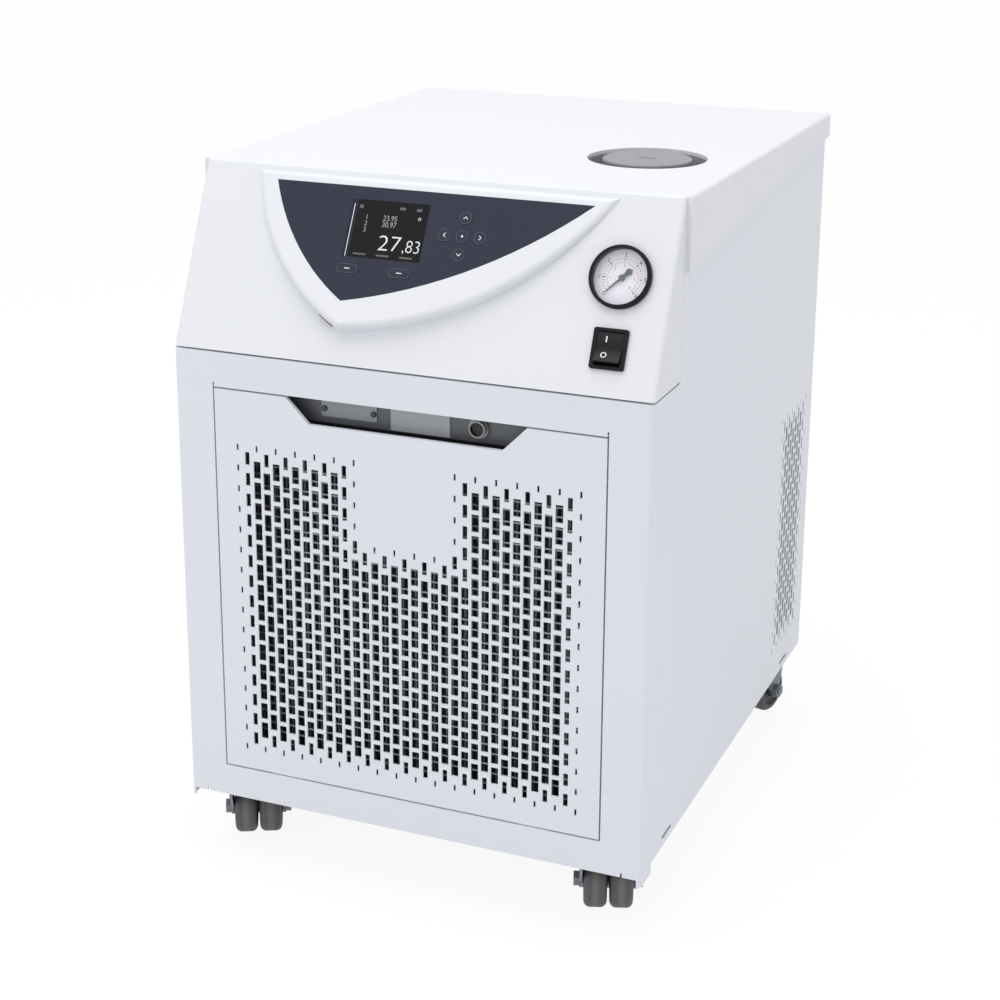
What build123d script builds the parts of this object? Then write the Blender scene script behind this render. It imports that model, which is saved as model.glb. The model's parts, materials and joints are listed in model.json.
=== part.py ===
"""Recirculating chiller on castors, in millimetres.

The front faces -Y and up is +Z. The origin is on the floor, at the centre of the unit's own box.
"""

from build123d import *
import math
import os

# Overall size of the unit
body_width = 442.0
body_depth = 545.0
overall_height = 650.0
hood_lip = 4.0
fitting_reach = 35.0

# Sheet metal and general clearances
sheet = 1.5
fold_radius = 4.0
fit_gap = 0.3
running_gap = 0.08

# Heights above the floor
castor_height = 72.0
skirt_height = 67.0
side_height = 70.0
tab_height = 60.0
seam_height = overall_height - 156.0

# Worked out once for the whole unit
half_width = body_width / 2
front = -(body_depth + fitting_reach) / 2
rear = front + body_depth
inner_half = half_width - sheet


def block(x, y, z):
    """A box between two limits on each axis."""
    size = Box(x[1] - x[0], y[1] - y[0], z[1] - z[0])
    return Pos((x[0] + x[1]) / 2, (y[0] + y[1]) / 2, (z[0] + z[1]) / 2) * size


def rod(radius, start, end):
    """A cylinder between two points."""
    along = Vector(*end) - Vector(*start)
    return extrude(Plane(origin=start, z_dir=along) * Circle(radius), along.length)


def disc(plane, at, radius, low, high):
    """A cylinder that stands on a plane, between two heights above it."""
    return extrude(plane.offset(low) * Pos(*at) * Circle(radius), high - low)


def slab(plane, at, width, length, low, high, corner=0.0):
    """A rectangular plate on a plane, between two heights above it."""
    outline = RectangleRounded(width, length, corner) if corner else Rectangle(width, length)
    return extrude(plane.offset(low) * Pos(*at) * outline, high - low)


def carried(profile, x):
    """A profile drawn as (depth, height), carried across from one X to another."""
    return Pos(x[0], 0, 0) * extrude(Plane.YZ * profile, x[1] - x[0], dir=(1, 0, 0))


def prism(points, x):
    """A straight-sided profile, carried across from one X to another."""
    return carried(make_face(Polyline(*points, close=True)), x)


def pipe(points, radii, outer, wall):
    """A bent tube: straight runs joined by tangent arcs."""
    path = FilletPolyline(*points, radius=radii)
    start = Plane(origin=path @ 0, z_dir=path % 0)
    return sweep(start * Circle(outer) - start * Circle(outer - wall), path)


def upright(shape, low=-1.0):
    """The edges of a shape that run straight up, at or in front of a depth."""
    return [edge for edge in shape.edges().filter_by(Axis.Z) if edge.center().Y <= low]


# The graded slot pattern: each slot's size depends on its distance from the edge of the field

slot_pitch_x = 9.44
slot_pitch_z = 19.3
slot_sizes = ((2.0, 5.9), (4.4, 11.8), (6.9, 15.7))


def graded_slots(columns, rows, notch=None):
    """Slots as (across, up, width, height) from the middle of a staggered field.

    The outermost ring is the smallest size, the next ring the middle size and the rest full.
    A notch (half its columns, its rows) keeps a bare area at the middle of the top edge.
    """
    middle = (columns - 1) / 2
    for column in range(columns):
        shift = 0.5 * (column % 2)
        for step in range(rows - column % 2):
            row = step + shift
            ring = min(column, columns - 1 - column, 2 * row, 2 * (rows - 1 - row))
            if notch:
                beside = abs(column - middle) - notch[0]
                below = 2 * row - 2 * notch[1] + 1
                from_notch = max(beside, below) - 1
                inner_corner = beside == 1 and below == 1
                ring = min(ring, 1 if inner_corner else from_notch)
            if ring < 0:
                continue
            width, height = slot_sizes[min(int(ring), 2)]
            across = (column - middle) * slot_pitch_x
            up = ((rows - 1) / 2 - row) * slot_pitch_z
            yield across, up, width, height


# The grille panel and the window in the casing that it sits in

window_half = half_width - 37.5
window_low = 97.2
window_high = seam_height - 31.2
window_flange = 14.0
grille_gap = 1.5
grille_rim = 12.0
grip_top_half = 112.0
grip_bottom_half = 90.0
grip_floor = window_high - 23.8
grip_return = 4.0
field_columns = 2 * round(window_half / slot_pitch_x - 2.4) + 1
field_rows = round((window_high - window_low) / slot_pitch_z - 2.9)
field_notch = (4, 4)
field_centre = (window_low + window_high) / 2 - 14.8
pad_width = 30.0
pad_centre = 120.0


def front_grille():
    """The pull-off grille panel: one folded sheet, its slots graded towards every edge."""
    side = window_half - grille_gap
    low = window_low + grille_gap
    high = window_high - grille_gap
    outline = Polyline(
        (-side, low), (side, low), (side, high), (grip_top_half, high), (grip_bottom_half, grip_floor),
        (-grip_bottom_half, grip_floor), (-grip_top_half, high), (-side, high), close=True,
    )
    plane = Plane(origin=(0, front, 0), x_dir=(1, 0, 0), z_dir=(0, -1, 0))
    holes = [
        (Pos(across, field_centre + up) * Rectangle(width, height)).face().outer_wire()
        for across, up, width, height in graded_slots(field_columns, field_rows, field_notch)
    ]
    whole = make_face(outline)
    sheet_face = Face(whole.face().outer_wire(), holes)
    plate = extrude(plane.location * sheet_face, -sheet)
    rim_face = whole - offset(whole, -sheet, kind=Kind.INTERSECTION)
    notch = Pos(0, high) * Rectangle(2 * (grip_top_half + grille_rim), 2 * (high - grip_floor + grille_rim))
    rim = extrude(plane * (rim_face - notch), -grille_rim) + extrude(plane * (rim_face & notch), -grip_return)
    pads = [
        block((x - pad_width / 2, x + pad_width / 2), (front + sheet, front + grille_rim),
              (window_low + fit_gap, low + sheet))
        for x in (-pad_centre, pad_centre)
    ]
    return plate + rim + pads


# The casing: one sheet folded round the front and both sides

tab_depth = 28.0
cheek_depth = 68.0
lip_start = 72.0
casing_top = overall_height - 10.0
lip_front_height = overall_height - 62.5
lip_rear_height = overall_height - 22.0
top_flange = 20.0
skirt_flange = 15.0
skirt_notch = 203.0
notch_width = 2.0
notch_height = 4.0
rear_flange = 15.0
slit_height = 4.0
slit_low = 76.5
slit_length = 27.0
slit_inset = (58.0, 463.0)
vent_columns = 11
vent_rows = 14
vent_depth = 473.0
vent_height = 232.7


def casing():
    """Front frame and both sides in one sheet, with window, flanges, vents and slits."""
    outer = block((-half_width, half_width), (front, rear), (tab_height, casing_top))
    outer = fillet(upright(outer, front), fold_radius)
    over = 1.0
    inner = block((-inner_half, inner_half), (front + sheet, rear + over), (tab_height - over, casing_top + over))
    inner = fillet(upright(inner, front + sheet), fold_radius - sheet)
    shell = outer - inner

    wide = (-half_width - over, half_width + over)
    tall = casing_top + over
    cheek = front + cheek_depth + fit_gap
    behind_lip = front + lip_start + hood_wall + fit_gap
    skirt_half = half_width - fold_radius
    shell -= [
        block(wide, (front - over, cheek), (seam_height, tall)),
        block(wide, (front - over, behind_lip), (lip_front_height - fit_gap, tall)),
        block((-skirt_half, skirt_half), (front - over, front + sheet + over), (tab_height - over, skirt_height)),
        block(wide, (front + tab_depth, rear + over), (tab_height - over, side_height)),
        block((-window_half, window_half), (front - over, front + sheet + over), (window_low, window_high)),
    ]

    top_limits = (seam_height - sheet, seam_height)
    flange_outer = block(
        (-window_half - sheet, window_half + sheet), (front + sheet, front + window_flange),
        (window_low - sheet, window_high + sheet),
    )
    flange_inner = block(
        (-window_half, window_half), (front, front + window_flange + over), (window_low, window_high)
    )
    skirt_back = (front + sheet, front + skirt_flange)
    skirt_limits = (skirt_height, skirt_height + sheet)
    inner_edge = inner_half - rear_flange
    shell += [
        block((-inner_half, inner_half), (front + sheet, front + top_flange), top_limits),
        flange_outer - flange_inner,
        block((-skirt_notch + notch_width, skirt_notch - notch_width), skirt_back, skirt_limits),
        block((inner_edge, inner_half), (rear - sheet, rear), (side_height, casing_top)),
        block((-inner_half, -inner_edge), (rear - sheet, rear), (side_height, casing_top)),
    ]

    cuts = []
    front_skin = (front - over, front + sheet + over)
    for side in (-1, 1):
        notch_x = side * skirt_notch
        relief_x = side * (window_half - grille_gap / 2)
        cuts.append(block((notch_x - notch_width / 2, notch_x + notch_width / 2), front_skin,
                          (skirt_height - over, skirt_height + notch_height)))
        cuts.append(block((relief_x - grille_gap / 2, relief_x + grille_gap / 2), front_skin,
                          (window_high - over, window_high + notch_height)))
        skin = sorted((side * (inner_half - over), side * (half_width + over)))
        for inset in slit_inset:
            cuts.append(block(skin, (front + inset, front + inset + slit_length),
                              (slit_low, slit_low + slit_height)))
    right_skin = (inner_half - over, half_width + over)
    for across, up, width, height in graded_slots(vent_columns, vent_rows):
        y = front + vent_depth + across
        z = vent_height + up
        cuts.append(block(right_skin, (y - width / 2, y + width / 2), (z - height / 2, z + height / 2)))
    return shell - cuts


# The hood: one moulded shell with the sloping fascia, the flat top and the lips at its sides

slope_run = 70.0
hood_wall = 3.5
hood_seam_gap = 1.6
hood_radius = 3.0
hood_depth = body_depth + hood_lip
slope_rise = overall_height - seam_height
slope_length = math.hypot(slope_run, slope_rise)
slope_plane = Plane(
    origin=(0, front, seam_height), x_dir=(1, 0, 0), z_dir=(0, -slope_rise, slope_run)
)

# The shield-shaped bezel on the fascia: points are across and up the slope
bezel_corner = (166.0, 165.0)
bezel_left = (-129.0, 83.0)
bezel_vertex = (-64.0, 30.0)
bezel_right = (60.6, 67.0)
bezel_low_proud = 14.0
bezel_high_proud = 3.0
bezel_draft = 12.0
bezel_radius = 5.0
bezel_root = 8.0
flap_at = (-78.0, 38.3)
flap_turn = -32.0
flap_size = (16.5, 0.8)
bezel_wall = 5.5
panel_corner = (146.0, 157.0)
panel_left = (-103.0, 88.0)
panel_vertex = (-63.0, 55.4)
panel_right = (58.4, 98.0)
panel_thickness = 2.0
panel_gap = 0.2

bezel_tilt = math.atan2(bezel_low_proud - bezel_high_proud, bezel_corner[1] - bezel_vertex[1])
bezel_origin_proud = bezel_low_proud + bezel_vertex[1] * math.tan(bezel_tilt)
bezel_plane = Plane(
    origin=slope_plane.from_local_coords((0, 0, bezel_origin_proud)),
    x_dir=(1, 0, 0),
    z_dir=slope_plane.y_dir * math.sin(bezel_tilt) + slope_plane.z_dir * math.cos(bezel_tilt),
)

# The filler opening in the top, near the right rear
filler_x = half_width - 85.7
filler_y = front + 228.0
filler_hole = 53.5

# The gauge and the switch, placed across and up the slope
gauge_at = (half_width - 44.5, 100.5)
gauge_radius = 26.5
gauge_body = 25.0
switch_at = (half_width - 44.7, 41.0)
switch_width = 29.6
switch_length = 34.0
switch_body_width = 26.6
switch_body_length = 31.0

# The display, the control board and its posts
display_at = (-34.5, 120.2)
display_width = 72.0
display_length = 51.0
module_margin = 1.7
board_at = (-10.0, 110.0)
board_width = 150.0
board_length = 72.0
board_depth = 16.0
board_thickness = 1.6
post_inset = 6.0
post_radius = 3.0

# The keys: two wide ones under the display and five round ones, each at across and up
round_key = 5.6
wide_key = (19.0, 8.5)
wide_key_corner = 3.5
key_gap = 0.3
key_proud = 0.4
key_thickness = 1.4
key_travel = 0.8
stem_radius = 1.6
stem_hole = 2.2
key_pad_centre = (35.5, 121.0)
key_pad_step = 16.2
keys = {
    "key_softkey_left": (-63.2, 84.0),
    "key_softkey_right": (-14.7, 84.0),
    "key_up": (key_pad_centre[0], key_pad_centre[1] + key_pad_step),
    "key_down": (key_pad_centre[0], key_pad_centre[1] - key_pad_step),
    "key_left": (key_pad_centre[0] - key_pad_step, key_pad_centre[1]),
    "key_right": (key_pad_centre[0] + key_pad_step, key_pad_centre[1]),
    "key_enter": key_pad_centre,
}


def shield(corner, left, vertex, right):
    """A shield outline: a straight top and two arcs that meet at a low vertex left of centre."""
    top_left = (-corner[0], corner[1])
    return make_face([
        ThreePointArc(top_left, left, vertex),
        ThreePointArc(vertex, right, corner),
        Line(corner, top_left),
    ])


def above(plane, height):
    """Everything above a plane by more than a height, as one large block."""
    reach = 600.0
    return slab(plane, (0, 0), reach, reach, height, height + reach)


def slope_y(z):
    """The fascia's depth at a height, on its outer face."""
    return front + (z - seam_height) * slope_run / slope_rise


def hood_outer():
    low = seam_height + hood_seam_gap
    overlap = 8.0
    wedge = prism(
        [(slope_y(low), low), (front + slope_run, overall_height),
         (front + lip_start + overlap, overall_height), (front + lip_start + overlap, lip_front_height),
         (front + cheek_depth, lip_front_height), (front + cheek_depth, low)],
        (-half_width, half_width),
    )
    top_edge = [e for e in wedge.edges().filter_by(Axis.X)
                if abs(e.center().Y - front - slope_run) < 1 and e.center().Z > overall_height - 1]
    cheek_edges = [e for e in wedge.edges() if abs(e.tangent_at(0).X) < 0.01
                   and abs(e.tangent_at(0).Y) > 0.1 and abs(e.tangent_at(0).Z) > 0.1]
    wedge = fillet(top_edge + cheek_edges, hood_radius)
    lip = half_width + hood_lip
    cover = prism(
        [(front + lip_start, lip_front_height), (front + lip_start, overall_height),
         (front + hood_depth, overall_height), (front + hood_depth, lip_rear_height)],
        (-lip, lip),
    )
    cover_edges = [
        e for e in cover.edges()
        if (e.center().Z > overall_height - 1 and e.center().Y > front + lip_start + 1)
        or (e.center().Y > front + hood_depth - 1 and abs(e.tangent_at(0).Z) > 0.9)
    ]
    return wedge + fillet(cover_edges, hood_radius)


def hood_inner():
    low = seam_height - 1
    high = overall_height - hood_wall
    inward = hood_wall * slope_length / slope_rise
    lip_inside = front + lip_start + hood_wall
    narrow = half_width - hood_wall
    wide = half_width + fit_gap
    wedge = prism(
        [(slope_y(low) + inward, low), (slope_y(high) + inward, high),
         (lip_inside + 1, high), (lip_inside + 1, low)],
        (-narrow, narrow),
    )
    cover = prism(
        [(lip_inside, low), (lip_inside, high), (front + hood_depth - hood_wall, high),
         (front + hood_depth - hood_wall, low)],
        (-wide, wide),
    )
    return wedge + cover


def bezel_block():
    face = shield(bezel_corner, bezel_left, bezel_vertex, bezel_right)
    grown = offset(face, bezel_root * math.tan(math.radians(bezel_draft)), kind=Kind.INTERSECTION)
    solid = extrude(slope_plane.offset(-bezel_root) * grown, 2 * bezel_low_proud, taper=bezel_draft)
    solid -= above(bezel_plane, 0.0)
    rim = [e for e in solid.edges() if abs(bezel_plane.to_local_coords(e.center()).Z) < 0.05]
    return fillet(rim, bezel_radius)


def bezel_hollow():
    face = shield(bezel_corner, bezel_left, bezel_vertex, bezel_right)
    inner = offset(face, -bezel_wall - hood_wall, kind=Kind.INTERSECTION)
    reach = 12.0
    return extrude(slope_plane.offset(-reach) * inner, 3 * reach) - above(bezel_plane, -bezel_wall)


def board_posts():
    """Four posts inside the fascia that carry the control board."""
    x = board_width / 2 - post_inset
    y = board_length / 2 - post_inset
    places = [(board_at[0] + i * x, board_at[1] + j * y) for i in (-1, 1) for j in (-1, 1)]
    return [disc(bezel_plane, at, post_radius, -board_depth, -bezel_wall + 1.0) for at in places]


def key_slot(name, at, grow, low, high):
    """The body of a key's head, grown all round by a clearance."""
    if "softkey" in name:
        width, length = wide_key
        return slab(bezel_plane, at, width + 2 * grow, length + 2 * grow, low, high, wide_key_corner + grow)
    return disc(bezel_plane, at, round_key + grow, low, high)


def hood():
    """The whole moulded top: fascia, bezel, cheeks, flat top and lips, open underneath."""
    shell = hood_outer() + bezel_block() - hood_inner() - bezel_hollow()
    pocket = panel_thickness + panel_gap
    panel_face = shield(panel_corner, panel_left, panel_vertex, panel_right)
    through = 40.0
    shell -= extrude(bezel_plane * offset(panel_face, panel_gap), -pocket)
    shell -= slab(bezel_plane, display_at, display_width + 2 * module_margin + 2 * fit_gap,
                  display_length + 2 * module_margin + 2 * fit_gap, -through, 0.0)
    shell -= [disc(bezel_plane, at, stem_hole, -through, 0.0) for at in keys.values()]
    shell -= disc(slope_plane, gauge_at, gauge_body + fit_gap, -through, through)
    shell -= slab(slope_plane, switch_at, switch_body_width + 2 * fit_gap,
                  switch_body_length + 2 * fit_gap, -through, through)
    shell -= rod(filler_hole, (filler_x, filler_y, overall_height - through), (filler_x, filler_y, overall_height + 1))
    flap = slope_plane.offset(-flap_size[1]) * Pos(*flap_at) * Rot(0, 0, flap_turn) * Rectangle(*flap_size)
    return shell - extrude(flap, bezel_low_proud) + board_posts()


def control_panel():
    """The slate front plate, with its openings for the display and the keys."""
    plate = extrude(bezel_plane * shield(panel_corner, panel_left, panel_vertex, panel_right), -panel_thickness)
    plate -= slab(bezel_plane, display_at, display_width, display_length, -panel_thickness, 1.0)
    return plate - [key_slot(name, at, key_gap, -panel_thickness - 1, 1.0) for name, at in keys.items()]


def display_window():
    """The clear window, flush in the plate."""
    return slab(bezel_plane, display_at, display_width - 2 * panel_gap, display_length - 2 * panel_gap,
                -panel_thickness, 0.0)


def display_module():
    """The display behind the window, held between the plate and the board."""
    return slab(bezel_plane, display_at, display_width + 2 * module_margin, display_length + 2 * module_margin,
                -board_depth + fit_gap, -panel_thickness - fit_gap)


def control_board():
    """The circuit board, with a push switch under each key and two connectors."""
    switch_rise = 4.0
    switch_size = 6.0
    board = slab(bezel_plane, board_at, board_width, board_length, -board_depth - board_thickness, -board_depth)
    board += [slab(bezel_plane, at, switch_size, switch_size, -board_depth, -board_depth + switch_rise)
              for at in keys.values()]
    back = -board_depth - board_thickness
    board += [slab(bezel_plane, (board_at[0] + x, board_at[1] - 15), 26.0, 9.0, back - 8.0, back)
              for x in (-45.0, 40.0)]
    return board


def key(name, at):
    """One key: a low cap in the plate and a stem that reaches its switch."""
    switch_top = -board_depth + 4.0
    cap = key_slot(name, at, 0.0, key_proud - key_thickness, key_proud)
    stem = disc(bezel_plane, at, stem_radius, switch_top + key_travel + fit_gap, key_proud - key_thickness)
    return cap + stem


# The pressure gauge: a black case, a printed dial, a needle and a clear lens

gauge_proud = 5.5
gauge_depth = 26.0
gauge_lip = 23.4
gauge_floor = -4.0
gauge_cavity = 24.4
dial_thickness = 0.8
lens_low = 1.2
lens_thickness = 1.5
needle_hub = 2.6
needle_length = 17.6
needle_tail = 7.0
needle_pin = 0.8
needle_rest = -135.0


def gauge_plane():
    return Plane(
        origin=slope_plane.from_local_coords((gauge_at[0], gauge_at[1], 0)),
        x_dir=slope_plane.x_dir,
        z_dir=slope_plane.z_dir,
    )


def gauge_case():
    plane = gauge_plane()
    centre = (0, 0)
    case = disc(plane, centre, gauge_radius, 0.0, gauge_proud) + disc(plane, centre, gauge_body, -gauge_depth, 0.0)
    case = fillet(case.edges().filter_by(GeomType.CIRCLE).sort_by(Axis((0, 0, 0), plane.z_dir))[-1], 1.5)
    case -= disc(plane, centre, gauge_cavity, gauge_floor, lens_low + lens_thickness + fit_gap)
    case -= disc(plane, centre, gauge_lip, gauge_floor, gauge_proud + 1)
    stem = disc(plane, centre, 6.0, -gauge_depth - 14.0, -gauge_depth)
    wrench_flats = slab(plane, centre, 14.0, 14.0, -gauge_depth - 6.0, -gauge_depth)
    return case + stem + wrench_flats


def gauge_dial():
    """The dial disc with the stop pin at its left."""
    plane = gauge_plane()
    top = gauge_floor + dial_thickness
    dial = disc(plane, (0, 0), gauge_cavity - fit_gap, gauge_floor, top)
    dial -= disc(plane, (0, 0), needle_pin + running_gap, gauge_floor - 1, top + 1)
    return dial + disc(plane, (-21.0, 0), 0.9, top, top + 1.0)


def gauge_lens():
    return disc(gauge_plane(), (0, 0), gauge_cavity - fit_gap, lens_low, lens_low + lens_thickness)


def gauge_needle():
    """Hub, pin and a tapered pointer with a broader tail, at zero."""
    plane = gauge_plane()
    low, high = -1.9, -1.3
    pointer = make_face(Polyline(
        (-needle_tail, -2.1), (0, -1.1), (needle_length, -0.25), (needle_length, 0.25), (0, 1.1),
        (-needle_tail, 2.1), close=True,
    ))
    blade = extrude(plane.offset(low) * Rot(0, 0, needle_rest) * pointer, high - low)
    hub = disc(plane, (0, 0), needle_hub, -2.6, -0.6)
    return blade + hub + disc(plane, (0, 0), needle_pin, gauge_floor + 0.1, -2.6)


# The mains switch: a frame that clips into the fascia and a rocker on two short trunnions

switch_proud = 2.6
switch_depth = 22.0
rocker_width = 21.8
rocker_half = 12.8
rocker_pivot = -3.0
rocker_tilt = 9.0
rocker_well_half = 14.2
trunnion_radius = 1.5


def switch_plane():
    return Plane(
        origin=slope_plane.from_local_coords((switch_at[0], switch_at[1], 0)),
        x_dir=slope_plane.x_dir,
        z_dir=slope_plane.z_dir,
    )


def trunnions(radius, reach):
    plane = switch_plane()
    start = plane.from_local_coords((-reach, 0, rocker_pivot))
    end = plane.from_local_coords((reach, 0, rocker_pivot))
    return rod(radius, tuple(start), tuple(end))


def switch_frame():
    plane = switch_plane()
    frame = slab(plane, (0, 0), switch_width, switch_length, 0.0, switch_proud, 2.0)
    frame += slab(plane, (0, 0), switch_body_width, switch_body_length, -switch_depth, 0.0)
    well = rocker_width + 2 * fit_gap
    frame -= slab(plane, (0, 0), well, 2 * rocker_well_half, -10.0, switch_proud + 1)
    frame -= trunnions(trunnion_radius + running_gap, rocker_width / 2 + 1.3)
    blades = [slab(plane, (x, y), 1.0, 6.3, -switch_depth - 9.0, -switch_depth)
              for x in (-6.0, 6.0) for y in (-8.0, 8.0)]
    return frame + blades


def switch_rocker():
    """The rocker, concave across its face, with its upper end pressed in."""
    plane = switch_plane()
    crown, dip, flank, keel = 4.6, 2.4, -2.0, -8.0
    profile = make_face([
        Line((-rocker_half, flank), (-rocker_half, crown)),
        ThreePointArc((-rocker_half, crown), (0, dip), (rocker_half, crown)),
        Line((rocker_half, crown), (rocker_half, flank)),
        Line((rocker_half, flank), (0, keel)),
        Line((0, keel), (-rocker_half, flank)),
    ])
    body = carried(profile, (-rocker_width / 2, rocker_width / 2))
    body = fillet(body.edges().filter_by(lambda e: e.center().Z > crown - 2.5 and abs(e.center().Y) > 1), 0.8)
    turned = Pos(0, 0, rocker_pivot) * Rot(-rocker_tilt, 0, 0) * Pos(0, 0, -rocker_pivot) * body
    return plane * turned + trunnions(trunnion_radius, rocker_width / 2 + 1.0)


# The filler: a dished collar under the hood, a moulded tank with a wide neck and a lift-off cap

collar_radius = 60.0
collar_floor = overall_height - 22.0
collar_wall = 2.4
neck_radius = 36.0
neck_wall = 4.0
neck_top = overall_height - 12.0
cap_radius = 40.0
cap_low = overall_height - 19.0
cap_roof = overall_height - 9.0
tank_x = (half_width - 197.0, half_width - 16.0)
tank_y = (front + 128.0, front + 330.0)
shelf_height = overall_height - 222.0
tank_top = overall_height - 50.0
tank_wall = 4.0
tank_radius = 14.0


def filler_collar():
    """The dished collar that shows round the cap and drains spills."""
    centre = (filler_x, filler_y)
    top = overall_height - hood_wall - 0.2
    well = filler_hole + 0.3
    body = disc(Plane.XY, centre, well + collar_wall, collar_floor - collar_wall, top)
    body += disc(Plane.XY, centre, collar_radius, top - collar_wall, top)
    body -= disc(Plane.XY, centre, well, collar_floor, top + 1)
    return body - disc(Plane.XY, centre, neck_radius + fit_gap, collar_floor - 10, top + 1)


def tank():
    """The water tank, blown in one piece with its filler neck."""
    centre = (filler_x, filler_y)
    body = block(tank_x, tank_y, (shelf_height, tank_top))
    body = fillet(body.edges(), tank_radius)
    body += disc(Plane.XY, centre, neck_radius, tank_top - 5, neck_top)
    hollow = block((tank_x[0] + tank_wall, tank_x[1] - tank_wall), (tank_y[0] + tank_wall, tank_y[1] - tank_wall),
                   (shelf_height + tank_wall, tank_top - tank_wall))
    hollow = fillet(hollow.edges(), tank_radius - tank_wall)
    hollow += disc(Plane.XY, centre, neck_radius - neck_wall, tank_top - 3 * tank_wall, neck_top + 1)
    return body - hollow


def filler_cap():
    """The flat cap that lies flush with the hood and closes over the neck."""
    centre = (filler_x, filler_y)
    cap = disc(Plane.XY, centre, cap_radius, cap_low, overall_height)
    cap = fillet(cap.edges().sort_by(Axis.Z)[-1], 1.5)
    cap -= disc(Plane.XY, centre, neck_radius + fit_gap, cap_low - 1, cap_roof)
    finger_dimple = Pos(filler_x, filler_y, overall_height) * Box(16.0, 3.0, 1.2)
    return cap - finger_dimple


# Behind the cut-out at the top of the grille: the interface panel and what is screwed to it

interface_front = 16.0
interface_half = 130.0
interface_low = window_high - 24.8
blanking_at = (-58.0, window_high - 11.8)
blanking_size = (53.0, 14.0)
blanking_screws = 47.0
plate_thickness = 1.2
module_at = (9.0, window_high - 7.8)
module_size = (55.0, 32.0)
connector_at = (63.0, window_high - 11.8)
connector_radius = 7.5


def interface_plane():
    return Plane(origin=(0, front + interface_front, 0), x_dir=(1, 0, 0), z_dir=(0, -1, 0))


def interface_panel():
    """A folded panel that hangs from the casing's top flange."""
    plane_y = front + interface_front
    top = seam_height - sheet
    panel = block((-interface_half, interface_half), (plane_y, plane_y + sheet), (interface_low, top))
    panel += block((-interface_half, interface_half), (plane_y, plane_y + 40), (top - sheet, top))
    ledge = block((-interface_half, interface_half), (plane_y, plane_y + 16), (interface_low, interface_low + sheet))
    return panel + ledge


def blanking_plate():
    return slab(interface_plane(), blanking_at, *blanking_size, 0.0, plate_thickness, 2.0)


def panel_screws():
    """The two pan-head screws of the blanking plate."""
    plane = interface_plane()
    screws = []
    for side in (-1, 1):
        at = (blanking_at[0] + side * blanking_screws / 2, blanking_at[1])
        head = disc(plane, at, 2.6, plate_thickness, plate_thickness + 1.8)
        screws.append(fillet(head.edges().filter_by(GeomType.CIRCLE).sort_by(Axis.Y)[0], 1.0))
    return Compound(children=screws)


def module_cover():
    return slab(interface_plane(), module_at, *module_size, 0.0, plate_thickness)


def signal_connector():
    """A round metal panel connector with a ring nut and five contact holes."""
    plane = interface_plane()
    body = disc(plane, connector_at, connector_radius, 0.0, 6.0)
    body += disc(plane, connector_at, connector_radius + 1.6, 0.0, 2.0)
    body -= disc(plane, connector_at, connector_radius - 1.4, 3.2, 7.0)
    ring = 3.2
    holes = [(connector_at[0] + ring * math.cos(a), connector_at[1] + ring * math.sin(a))
             for a in (math.radians(72 * i + 90) for i in range(5))]
    return body - [disc(plane, at, 0.7, 1.2, 4.0) for at in holes]


# Chassis: base tray, middle shelf and rear panel

chassis_half = inner_half - fit_gap
tray_thickness = 2.0
tray_front = front + 8.0
tray_rim = 20.0
tray_floor = castor_height + tray_thickness
panel_face = rear - sheet
shelf_front = front + 125.0
shelf_rear = rear - 100.0
shelf_thickness = 2.0


def folded_pan(y, floor, thickness, rim):
    """A flat sheet with an upturned rim at both sides."""
    outer = block((-chassis_half, chassis_half), y, (floor - thickness, floor + rim))
    inner = block((-chassis_half + thickness, chassis_half - thickness), (y[0] - 1, y[1] + 1), (floor, floor + rim + 1))
    return outer - inner


def base_tray():
    return folded_pan((tray_front, panel_face - sheet), tray_floor, tray_thickness, tray_rim)


def mid_shelf():
    shelf = folded_pan((shelf_front, shelf_rear), shelf_height, shelf_thickness, tray_rim)
    suction_at = (pump_at[0], pump_at[1])
    return shelf - disc(Plane.XY, suction_at, hose_radius + 2.0, shelf_height - 5, shelf_height + 1)


def rear_panel():
    """The rear sheet, with holes for the water fittings, the gland and the drain, and vent slots."""
    low, high = side_height + 2.0, casing_top - 4.0
    inside = (panel_face - sheet, panel_face)
    panel = block((-chassis_half, chassis_half), inside, (low, high))
    skin = (panel_face - 2 * sheet, panel_face + sheet)
    cuts = [rod(fitting_thread + fit_gap, (x, skin[0], fitting_height), (x, skin[1], fitting_height))
            for x in fitting_x]
    cuts.append(rod(gland_thread + fit_gap, (gland_at[0], skin[0], gland_at[1]), (gland_at[0], skin[1], gland_at[1])))
    cuts.append(rod(drain_thread + fit_gap, (drain_at[0], skin[0], drain_at[1]), (drain_at[0], skin[1], drain_at[1])))
    louvre_width, louvre_height, louvre_pitch, louvre_rows = 110.0, 6.0, 16.0, 12
    for column in (-1, 1):
        x = column * 75.0
        for row in range(louvre_rows):
            z = 180.0 + row * louvre_pitch
            cuts.append(block((x - louvre_width / 2, x + louvre_width / 2), skin, (z, z + louvre_height)))
    return panel - cuts


# Rear connections

fitting_thread = 13.2
fitting_bore = 9.5
fitting_shank = 12.5
fitting_height = overall_height - 160.0
fitting_x = (52.0, half_width - 97.0)
fitting_hex = 17.0
gland_at = (71.0 - half_width, 125.0)
gland_thread = 12.5
gland_bore = 5.5
drain_at = (half_width - 71.0, 112.0)
drain_thread = 10.0


def hexagon(radius, at_x, at_z, y):
    plane = Plane(origin=(at_x, y[1], at_z), x_dir=(1, 0, 0), z_dir=(0, -1, 0))
    return extrude(plane * RegularPolygon(radius, 6), y[1] - y[0])


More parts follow.
